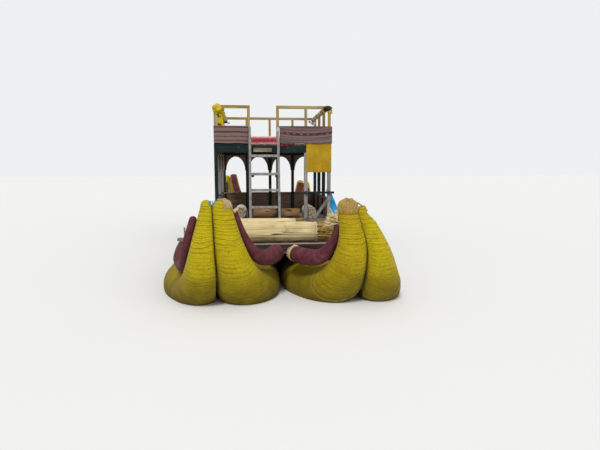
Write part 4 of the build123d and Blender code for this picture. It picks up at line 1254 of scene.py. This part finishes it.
class REEDBOAT_OT_banners(bpy.types.Operator):
    """Builds the striped cloths that hang from the upper deck's front rail, and the crimson one under them"""
    bl_idname = "reedboat.banners"
    bl_label = "Striped Cloths"

    def execute(self, context):
        for name, values in BANNERS.items():
            low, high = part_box(name)
            front, height, seed = (low[1] + high[1]) / 2, high[2] - low[2], values["seed"]
            x = np.linspace(low[0], high[0], 110)[None]
            back = np.concatenate([BANNER_LIP[:, 0], np.zeros(54)])[:, None]
            fall = np.concatenate([BANNER_LIP[:, 1], np.linspace(0.04, height, 54)])[:, None]
            down = fall / height
            sag = values["sag"] * np.sin(np.pi * (x - low[0]) / (high[0] - low[0]))
            sagged = fall + sag * (1 - 0.4 * down)
            waves = smooth_noise(seed, 9, sagged * 55, x * 2.4)
            pulls = smooth_noise(seed + 7, 7, x * 16 + fall * 12, x * 5)
            free = np.clip((down - 0.08) * 5, 0, 1)
            y = front + back + values["fold"] * (0.8 * waves + 0.35 * pulls) * free
            hem = 0.006 * smooth_noise(seed + 3, 5, x * 14) * down
            z = high[2] - 0.002 - fall * (1 + HEM_DROP / height) + hem
            flat = (high[0] - low[0], height + HEM_DROP + LIP_LENGTH)
            marks = np.clip(0.02 + sagged * 0.98, 0, flat[1])
            paint = finish_of(name, banded_finish, values["bands"], height + 0.012, values["dashes"])
            grid = points_of(x, np.clip(y, low[1] - 0.008, None), z)
            hang(cloth_sheet(f"{name}_cloth", grid, flat, paint, marks),
                 [name])

        run = np.linspace(0, CRIMSON["width"], 40)[None]
        x = CRIMSON["left"] + run
        down = np.linspace(0, 1, 12)[:, None]
        drop = CRIMSON["height"] + 0.005 - 0.05 * run / CRIMSON["width"] + 0.01 * np.sin(x * 40)
        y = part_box("plates")[0][1] - 0.008 - 0.006 * np.sin(x * 55 + down * 2) * down
        flat = (CRIMSON["width"], CRIMSON["height"])
        paint = finish_of("Crimson cloth", banded_finish, CRIMSON_BANDS, CRIMSON["height"])
        made = cloth_sheet("Crimson_cloth", points_of(x, y, CRIMSON["top"] - drop * down), flat, paint)
        hang(made)
        return {"FINISHED"}


class REEDBOAT_OT_blanket(bpy.types.Operator):
    """Builds the striped blanket over the bench"""
    bl_idname = "reedboat.blanket"
    bl_label = "Blanket"

    def execute(self, context):
        low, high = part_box("blanket")
        seat_z, lip_y, bend = high[2] - 0.006, low[1] + 0.01, 0.018
        x = np.linspace(low[0], high[0], 130)[None]
        seat = np.stack([np.linspace(high[1] - 0.01, lip_y + bend, 26), np.full(26, seat_z)], -1)
        angle = np.linspace(0, np.pi / 2, 7)[1:]
        corner = np.stack([lip_y + bend - bend * np.sin(angle), seat_z - bend + bend * np.cos(angle)], -1)
        drop = np.stack([np.full(22, lip_y), np.linspace(seat_z - bend, low[2] + 0.004, 23)[1:]], -1)
        path = np.concatenate([seat, corner, drop])
        long = float(lengths(path)[-1])
        share = (lengths(path) / long)[:, None]
        hanging = np.clip((share - 0.62) * 3, 0, 1)
        ripple = 0.009 * np.sin(x * 19 + 3 * np.sin(x * 4)) + 0.004 * np.sin(x * 47)
        lifted = 0.006 * np.maximum(smooth_noise(61, 8, x * 9, path[:, :1] * 22), 0) * (1 - hanging)
        z = path[:, 1:] + lifted + 0.012 * smooth_noise(62, 5, x * 7) * hanging
        flat = (high[0] - low[0], long)
        paint = finish_of("Blanket", banded_finish, BLANKET_BANDS, long, BLANKET_DASHES, 0.45, 0.2, 0.035)
        grid = points_of(x, path[:, :1] + ripple * hanging, z)
        made = cloth_sheet("Blanket_cloth", grid, flat, paint, thick=0.005)
        hang(made, ["blanket"])
        return {"FINISHED"}


# Tarpaulins: side, then stations of y, z, half width and half height
TARPS = {
    "tarp_left": (-1, [(-0.872, 3.955, 0.05, 0.1), (-0.86, 3.95, 0.09, 0.18), (-0.82, 3.95, 0.112, 0.215),
                       (-0.72, 3.98, 0.1, 0.17), (-0.6, 4.01, 0.078, 0.12), (0, 4.045, 0.062, 0.07),
                       (1.97, 4.05, 0.058, 0.062), (2.0, 4.05, 0.03, 0.03)]),
    "tarp_right": (1, [(-0.872, 4.065, 0.04, 0.04), (-0.85, 4.065, 0.075, 0.075), (-0.8, 4.065, 0.083, 0.083),
                       (-0.6, 4.06, 0.07, 0.075), (0, 4.06, 0.062, 0.066), (1.97, 4.055, 0.058, 0.062),
                       (2.0, 4.055, 0.03, 0.03)]),
}
TARP_LINE = 1.423
# Height of the tuck round the left tarpaulin's thick end, its half height and its depth
TUCK = (4.01, 0.014, 0.3)
# Knots of cloth: name, middle, half sizes, finish
KNOTS = [
    ("Tarp_knot_black", (-1.375, 1.95, 3.98), (0.055, 0.035, 0.05), "black"),
    ("Tarp_knot_pale_left", (-1.29, 1.955, 3.945), (0.045, 0.03, 0.035), "pale"),
    ("Tarp_knot_pale_right", (1.37, 1.94, 3.96), (0.085, 0.045, 0.06), "pale"),
    ("Tarp_knot_dark_right", (1.27, 1.96, 4.0), (0.035, 0.03, 0.03), "black"),
    ("Dark_cloth_knot", (1.415, -0.9, 4.085), (0.125, 0.075, 0.07), "black"),
    ("Yellow_knot", (1.475, -0.9, 3.985), (0.062, 0.05, 0.045), "yellow"),
    ("Corner_knot", (-1.395, -0.9, 4.03), (0.15, 0.11, 0.135), "yellow"),
    ("Ladder_rag", (0.13, -1.015, 3.53), (0.04, 0.035, 0.07), "pale"),
]
BROWN_CLOTH, BLACK_CLOTH, PALE_CLOTH = (0.06, 0.028, 0.012), (0.012, 0.01, 0.014), (0.62, 0.57, 0.56)
# Brown painted as shade on the hanging corner of the yellow tarpaulin.
SHADED_TAIL_CLOTH = (0.13, 0.055, 0.012)
TAIL_FLAT, TAIL_AREA = (0.19, 0.32), 0.05
BLUE_FLAT, BLUE_AREA = (1.2, 0.71), 0.74
# Share of the blue tarpaulin's run at which it turns the post's corner
BLUE_CORNER = 0.78


def rolled_tarp(name, number, side, stations, paint, around=44):
    """A tarpaulin rolled on a side rail: an oval tube through the stations, with slantwise folds that are
    deepest at its thick front end, and soft lumps."""
    stations = np.array(stations)
    y = np.concatenate([np.linspace(-0.872, -0.5, 40)[:-1], np.linspace(-0.5, 1.97, 90)[:-1], [1.97, 2.0]])
    z, half_x, half_z = (np.interp(y, stations[:, 0], stations[:, k])[:, None] for k in (1, 2, 3))
    turn, rows = circle(around)[None], y[:, None]
    twist = np.abs(np.sin(2.5 * turn + 14 * rows + 2 * smooth_noise(71 + number, 5, rows * 6)))
    lumps = smooth_noise(73 + number, 9, np.cos(turn) * 3, np.sin(turn) * 3, rows * 9)
    bulk = np.exp(-((rows + 0.8) / 0.2) ** 2)
    size = 1 - (0.05 + 0.1 * bulk) * (1 - twist) - 0.05 * (1 + lumps)
    if side < 0:
        level = z + half_z * np.sin(turn)
        size = size - TUCK[2] * np.exp(-((level - TUCK[0]) / TUCK[1]) ** 2) * bulk
    x = side * (TARP_LINE - half_x) + half_x * size * np.cos(turn)
    grid = points_of(x, rows, z + half_z * size * np.sin(turn))
    made = skins(f"{name}_cloth", grid, y - y[0], marks_round(around, 0.5), paint)
    return finish(made, [name])


def cloth_knot(name, number, middle, half, paint, around=44):
    """A crumpled knot: an oval ball whose radius is pushed out by noise and cut in sharply where it is near
    0."""
    tilt, turn = np.linspace(0.06, np.pi - 0.06, 20)[:, None], circle(around)[None]
    ball = points_of(np.sin(tilt) * np.cos(turn), np.sin(tilt) * np.sin(turn), np.cos(tilt))
    fold = smooth_noise(80 + number, 10, *(ball[..., k] * 5 for k in range(3)))
    ball = ball * (0.86 + 0.26 * np.abs(fold) - 0.17 * np.exp(-(fold / 0.13) ** 2))[..., None]
    grid = np.array(middle) + ball * np.array(half)
    return finish(skins(name, grid, tilt[:, 0] * 0.1, marks_round(around, 0.3), paint))


def tarp_tail(paint):
    """The corner of the left tarpaulin that hangs down the post: it widens downward in waves."""
    down, part = np.linspace(0, 1, 30)[:, None], np.linspace(0, 1, 36)[None]
    x = -1.345 + 0.035 * down + (part - 0.5) * (0.07 + 0.1 * down ** 0.7)
    y = -0.952 - 0.012 * np.sin(part * 2 * np.pi * 2.5 + down * 2) * (0.4 + down)
    z = 3.93 - 0.31 * down - 0.02 * np.abs(part - 0.4)
    made = cloth_sheet("Tarp_tail", points_of(x, y, z), TAIL_FLAT, paint)
    return hang(made)


def blue_tarp(paint):
    """The tarpaulin over the right parapet: a face along the parapet, then round the post a flap whose edge
    slants outward as it falls, both wrinkled by noise."""
    low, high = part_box("tarp_side")
    down, along = np.linspace(0, 1, 40)[:, None], np.linspace(0, 1, 100)[None]
    z = high[2] - 0.004 - (high[2] - low[2] - 0.008) * down
    slant = low[0] + 0.025 + (high[0] - 0.006 - low[0] - 0.025) * down
    front, inner = low[1] + 0.012, low[0] + 0.006
    run = np.clip(along / BLUE_CORNER, 0, 1)
    flap = np.clip((along - BLUE_CORNER) / (1 - BLUE_CORNER), 0, 1)
    wrinkle = 0.005 * smooth_noise(90, 9, along * 22, down * 9)
    wrinkle = wrinkle + 0.003 * smooth_noise(91, 7, along * 60, down * 14)
    x = np.where(flap > 0, slant + (inner - slant) * flap, slant + np.minimum(wrinkle, 0) * 1.5)
    y = np.where(flap > 0, front + np.abs(wrinkle), high[1] + (front - high[1]) * run)
    made = cloth_sheet("Blue_tarpaulin", points_of(x, y, z), BLUE_FLAT, paint)
    return hang(made, ["tarp_side"])


class REEDBOAT_OT_tarps(bpy.types.Operator):
    """Builds the rolled tarpaulins on the side rails, their knots, and the blue one over the right parapet"""
    bl_idname = "reedboat.tarps"
    bl_label = "Tarpaulins"

    def execute(self, context):
        tints = colours()
        yellow = finish_of("Yellow tarpaulin", tarp_finish, tints.tarp_yellow)
        brown = finish_of("Brown tarpaulin", tarp_finish, BROWN_CLOTH, tints.tarp_yellow)
        for number, (name, (side, stations)) in enumerate(TARPS.items()):
            rolled_tarp(name, number, side, stations, yellow if side < 0 else brown)
        knots = {"yellow": yellow, "black": finish_of("Black cloth", tarp_finish, BLACK_CLOTH),
                 "pale": finish_of("Pale cloth", tarp_finish, PALE_CLOTH)}
        for number, (name, middle, half, tint) in enumerate(KNOTS):
            cloth_knot(name, number, middle, half, knots[tint])
        # The hanging corner is brown painted shade, with patches of the yellow tarpaulin's own colour.
        tarp_tail(finish_of("Stained tarpaulin", tarp_finish, SHADED_TAIL_CLOTH, tints.tarp_yellow))
        blue_tarp(finish_of("Blue tarpaulin", tarp_finish, tints.tarp_blue, shade=0.12))
        return {"FINISHED"}


# Small timber: name, lowest and highest corner, finish
BOARDS = [
    ("Header_board", (-0.505, -0.958, 2.972), (-0.035, -0.936, 3.07), "Tan board"),
    ("Header_strip", (-1.5, -0.956, 3.135), (-0.63, -0.936, 3.222), "Green beam"),
    ("Deck_edge_board", (-1.42, -4.955, 1.118), (1.42, -4.931, 1.226), "Maroon board"),
    ("Deck_edge_batten", (-1.42, -4.957, 1.227), (1.42, -4.929, 1.245), "Pale batten"),
]
# Colour, dark colour, the axis of the grain and how bleached it is
BOARD_TINTS = {
    "Tan board": ((0.3, 0.25, 0.16), (0.12, 0.09, 0.06), 0, 0.5),
    "Maroon board": ((0.07, 0.035, 0.035), (0.025, 0.012, 0.012), 0, 0.2),
    "Pale batten": ((0.42, 0.36, 0.3), (0.2, 0.16, 0.13), 0, 0.5),
    "Dark iron": ((0.035, 0.028, 0.025), (0.012, 0.01, 0.01), 2, 0.1),
}
# y of the cleats on a parapet, half their length, their height, and how far their top narrows
CLEATS = {"at": (0.1, 1.1), "half": 0.085, "height": 0.07, "feet": 0.045}
NAIL_RADIUS, NAIL_RISE = 0.008, 0.005
# Ladder brackets: x, z, radius and rise; then y of the rails' face at a height, and how far forward it comes
# per metre down
BRACKETS = {"x": (-0.525, 0.065), "z": 2.36, "radius": 0.036, "rise": 0.02}
LADDER_FACE = {"y": -0.999, "z": 3.6, "slope": 0.2542}


def board_paint(label):
    """The finish of a small board: its own, or that of a kind of timber."""
    if label in TIMBER:
        return timber_paint(label)
    return finish_of(label, timber_finish, *BOARD_TINTS[label])


def board(name, low, high, material, feet=0.0):
    """A board between two corners. feet moves the top corners in along y, for a cleat that narrows upward."""
    corner = np.array([[a, b, c] for a in (0, 1) for b in (0, 1) for c in (0, 1)], float)
    points = np.array(low) + corner * (np.array(high) - np.array(low))
    points[:, 1] += np.where(corner[:, 2] > 0, np.where(corner[:, 1] > 0, -feet, feet), 0)
    quads = [[0, 1, 3, 2], [4, 6, 7, 5], [0, 4, 5, 1], [2, 3, 7, 6], [0, 2, 6, 4], [1, 5, 7, 3]]
    uv = np.tile([[0, 0], [0, 1], [1, 1], [1, 0]], (6, 1))
    return soften(put(name, points, quads, [], (uv, []), material, smooth=False), 0.003)


def studs(name, places, radius, rise, material):
    """Nail and bolt heads: low eight-sided domes that stand on a face and look forward, towards -Y."""
    spines = np.array(places, float)[:, None] - [0, 1, 0] * np.array([-0.3, 0.5, 1.0])[:, None] * rise
    radii = np.broadcast_to(np.array([1, 1, 0.6]) * radius, (len(places), 3))
    grid = rings(spines, radii, 8, (0.3, 0.1, 0.9))
    return skins(name, grid, [0, rise, rise * 2], marks_round(8, 1), material)


class REEDBOAT_OT_fittings(bpy.types.Operator):
    """Builds the edge boards, cleats, nails and brackets"""
    bl_idname = "reedboat.fittings"
    bl_label = "Boards and Nails"

    def execute(self, context):
        for name, low, high, label in BOARDS:
            finish(board(name, low, high, board_paint(label)))
        for side in SIGN:
            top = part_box(f"parapet_{side}")[1][2]
            low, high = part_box(f"posts_{side}")
            for number, y in enumerate(CLEATS["at"]):
                foot = (low[0] + 0.005, y - CLEATS["half"], top - 0.002)
                head = (high[0] - 0.005, y + CLEATS["half"], top + CLEATS["height"])
                cleat = board(f"Cleat_{side}_{number}", foot, head, board_paint("Green beam"), CLEATS["feet"])
                finish(cleat)
        iron = board_paint("Dark iron")
        low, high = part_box("panel_yellow")
        down = np.linspace(low[2] + 0.05, high[2] - 0.05, 8)
        across = np.linspace(low[0] + 0.04, high[0] - 0.04, 8)
        spots = [(low[0] + 0.022, low[1], z) for z in down] + [(x, low[1], low[2] + 0.022) for x in across]
        spots += [(high[0] - 0.022, low[1], z) for z in down[::3]]
        finish(studs("Board_nails", spots, NAIL_RADIUS, NAIL_RISE, iron))
        front = LADDER_FACE["y"] - (LADDER_FACE["z"] - BRACKETS["z"]) * LADDER_FACE["slope"]
        spots = [(x, front, BRACKETS["z"]) for x in BRACKETS["x"]]
        finish(studs("Ladder_brackets", spots, BRACKETS["radius"], BRACKETS["rise"], iron))
        return {"FINISHED"}


# Lashings: x of the second tie on the bay's rail; x of each thole's lashing and how far below the pin's top
# its block ends; the tip lashing's place from the seam and half sizes; and the cords round the right toes, by
# bundle, share of the end and how far they lean
RAIL_TIE_X = 1.47
THOLE_LASHINGS = {"left": (-1.76, 0.25), "right": (1.735, 0.26)}
TIP_LASHING = {"place": (0.02, -0.02, 0.055), "half": (0.05, 0.028), "pitch": 0.026}
TOE_CORDS = ((False, 0.51, 0.1), (True, 0.51, 0.06))
TOE_CORD_RADIUS = 0.0035
DARK_ROPE, OLIVE_CORD = (0.02, 0.018, 0.02), (0.3, 0.25, 0.06)
ROPE_ACROSS = (0.9, 0.3, 0.2)
# The stick in the right toe's wrap: x, and y and z from the tip's last section, of its upper end; how far it
# runs from there, how much it bows, and its radius at both ends
STICK = {"x": 1.11, "y": -0.05, "z": 0.155, "run": (0.16, 0, -0.125), "bow": (0.03, 0, 0.02),
         "radii": (0.011, 0.006)}


def wound(middle, half_y, half_z, turns, pitch):
    """Path of rope wound round a squared timber that lies along x: a helix whose cosine and sine are raised
    to the power 0.6, which squares it off."""
    thick = sizes().rope_radius
    angle = np.linspace(0, 2 * np.pi * turns, int(turns * 28))
    y, z = (np.sign(f) * np.abs(f) ** 0.6 for f in (np.cos(angle), np.sin(angle)))
    along = (angle / (2 * np.pi) - turns / 2) * pitch
    return np.array(middle) + np.stack([along, (half_y + thick) * y, (half_z + thick) * z], -1)


class REEDBOAT_OT_lashings(bpy.types.Operator):
    """Builds the rope ties and lashings, the cords round the bundles, and the stick in the wrap"""
    bl_idname = "reedboat.lashings"
    bl_label = "Lashings"

    def execute(self, context):
        thick = sizes().rope_radius
        teal = finish_of("Teal rope", rope_finish, colours().rope)
        dark = finish_of("Dark rope", rope_finish, DARK_ROPE)
        olive = finish_of("Olive cord", rope_finish, OLIVE_CORD)

        def lash(name, path, paint):
            """One rope tie: a thin tube along its path."""
            finish(tube(name, path, thick, 8, paint, ROPE_ACROSS))

        low, high = np.array(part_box("bay_rail"))
        middle, half = (low + high) / 2, (high - low) / 2
        for number, x in enumerate((low[0] + 0.06, RAIL_TIE_X)):
            path = wound((x, middle[1], middle[2]), half[1], half[1], 4, thick * 2)
            lash(f"Rail_tie_{number}", path, dark)
        for side, (x, below) in THOLE_LASHINGS.items():
            low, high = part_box(f"thole_{side}")
            block = high[2] - below
            middle = (x, (low[1] + high[1]) / 2, (low[2] + block) / 2)
            path = wound(middle, (high[1] - low[1]) / 2, (block - low[2]) / 2, 5, thick * 2.1)
            lash(f"Thole_lashing_{side}", path, teal)

        tip = section("left", -1, False, TAPER_START + end_length("left", -1, False))
        seam = np.array([-ENDS["left", -1][1][-1], tip[3], tip[4]])
        path = wound(seam + TIP_LASHING["place"], *TIP_LASHING["half"], 5, TIP_LASHING["pitch"])
        lash("Tip_lashing", path, teal)

        turn = circle(96)
        for number, (outer, share, lean) in enumerate(TOE_CORDS):
            distance = TAPER_START + share * end_length("right", -1, outer) + lean * np.sin(turn + 0.6)
            path = bundle_skin("right", -1, outer, distance, turn, -0.003)
            cord = tube(f"Toe_cord_{number}", np.concatenate([path, path[:1]]), TOE_CORD_RADIUS, 6, olive,
                        (0.2, 0.95, 0.1))
            finish(cord)

        tip = section("right", -1, True, TAPER_START + end_length("right", -1, True))
        down = np.linspace(0, 1, 8)[:, None]
        start = np.array([STICK["x"], tip[3] + STICK["y"], tip[4] + STICK["z"]])
        path = start + down * STICK["run"] + down * (1 - down) * STICK["bow"]
        radius = np.linspace(*STICK["radii"], 8)
        made = tube("Stick", path, radius, 8, timber_paint("Brown board x"), (0.1, 0.9, 0.3))
        finish(made)
        return {"FINISHED"}


# Stage: the photograph's viewing angle; half the floor's width and its colour; the background's and the
# light's grey; and each lamp's name, strength, turn and width in degrees
CAMERA_PLACE = (-0.42, -13.2, 2.62)
CAMERA_TURN = (82.8, 0.0, -5.2)
LENS = 28.2
FLOOR_REACH = 90.0
FLOOR_TINT = (0.78, 0.78, 0.77)
SKY_LIGHT, SKY_SEEN = (0.62, 0.62, 0.62), (0.86, 0.87, 0.88)
LAMPS = [("Key", 1.75, (38, 8, -28), 12), ("Fill", 0.55, (60, 0, 40), 40)]


def place_object(context, name, data):
    """A new object in the scene."""
    made = bpy.data.objects.new(name, data)
    context.collection.objects.link(made)
    return made


def stage_finish():
    """Plain pale floor with hardly any shine."""
    made, tree, _, _ = start_material("Stage floor", Roughness=0.9, Specular_IOR_Level=0.1)
    tree.nodes["Principled BSDF"].inputs["Base Color"].default_value = opaque(FLOOR_TINT)
    return made


class REEDBOAT_OT_stage(bpy.types.Operator):
    """Builds the floor at the waterline, the soft light and the camera"""
    bl_idname = "reedboat.stage"
    bl_label = "Stage"

    def execute(self, context):
        mesh = bpy.data.meshes.new("Floor")
        signs = ((-1, -1), (1, -1), (1, 1), (-1, 1))
        corners = [(x * FLOOR_REACH, y * FLOOR_REACH, WATERLINE) for x, y in signs]
        mesh.from_pydata(corners, [], [(0, 1, 2, 3)])
        mesh.materials.append(stage_finish())
        place_object(context, "Floor", mesh)

        world = bpy.data.worlds.new("Studio")
        world.use_nodes = True
        tree = world.node_tree
        path = node(tree, "ShaderNodeLightPath").outputs
        seen = maths(tree, "MAXIMUM", path["Is Camera Ray"], path["Is Glossy Ray"])
        seen = maths(tree, "MAXIMUM", seen, path["Is Transmission Ray"])
        back = tree.nodes["Background"].inputs
        tree.links.new(blend_colour(tree, seen, SKY_LIGHT, SKY_SEEN), back["Color"])
        back["Strength"].default_value = 1.0
        context.scene.world = world

        for name, strength, turn, soft in LAMPS:
            lamp = bpy.data.lights.new(name, "SUN")
            lamp.energy = strength
            lamp.angle = np.radians(soft)
            place_object(context, name, lamp).rotation_euler = tuple(np.radians(turn))

        lens = bpy.data.cameras.new("Camera")
        lens.lens = LENS
        lens.sensor_width = 36
        lens.clip_end = 300
        camera = place_object(context, "Camera", lens)
        camera.location = CAMERA_PLACE
        camera.rotation_euler = tuple(np.radians(CAMERA_TURN))
        context.scene.camera = camera
        context.scene.view_settings.view_transform = "Standard"
        return {"FINISHED"}


STEPS = [
    REEDBOAT_OT_stage, REEDBOAT_OT_bundles, REEDBOAT_OT_rolls, REEDBOAT_OT_tips, REEDBOAT_OT_reed_rolls,
    REEDBOAT_OT_timber, REEDBOAT_OT_panel_board, REEDBOAT_OT_banners, REEDBOAT_OT_blanket, REEDBOAT_OT_tarps,
    REEDBOAT_OT_fittings, REEDBOAT_OT_lashings,
]


class REEDBOAT_PT_panel(bpy.types.Panel):
    """Sidebar panel with the boat's sizes, colours and steps"""
    bl_idname = "REEDBOAT_PT_panel"
    bl_label = "Reed Boat"
    bl_space_type = "VIEW_3D"
    bl_region_type = "UI"
    bl_category = "Reed Boat"

    def draw(self, context):
        for values in (context.scene.reed_boat_sizes, context.scene.reed_boat_colours):
            column = self.layout.column(align=True)
            for key in values.__annotations__:
                column.prop(values, key)
        column = self.layout.column(align=True)
        for step in STEPS:
            column.operator(step.bl_idname)


CLASSES = [BoatSizes, BoatColours, *STEPS, REEDBOAT_PT_panel]


def register():
    """Registers the classes and hangs the two property groups on the scene."""
    for item in CLASSES:
        bpy.utils.register_class(item)
    bpy.types.Scene.reed_boat_sizes = PointerProperty(type=BoatSizes)
    bpy.types.Scene.reed_boat_colours = PointerProperty(type=BoatColours)


def unregister():
    """Takes away what register set up, in reverse order."""
    del bpy.types.Scene.reed_boat_colours
    del bpy.types.Scene.reed_boat_sizes
    for item in reversed(CLASSES):
        bpy.utils.unregister_class(item)


def main():
    """Runs every step in order."""
    register()
    for step in STEPS:
        space, name = step.bl_idname.split(".")
        getattr(getattr(bpy.ops, space), name)()


if __name__ == "__main__":
    main()
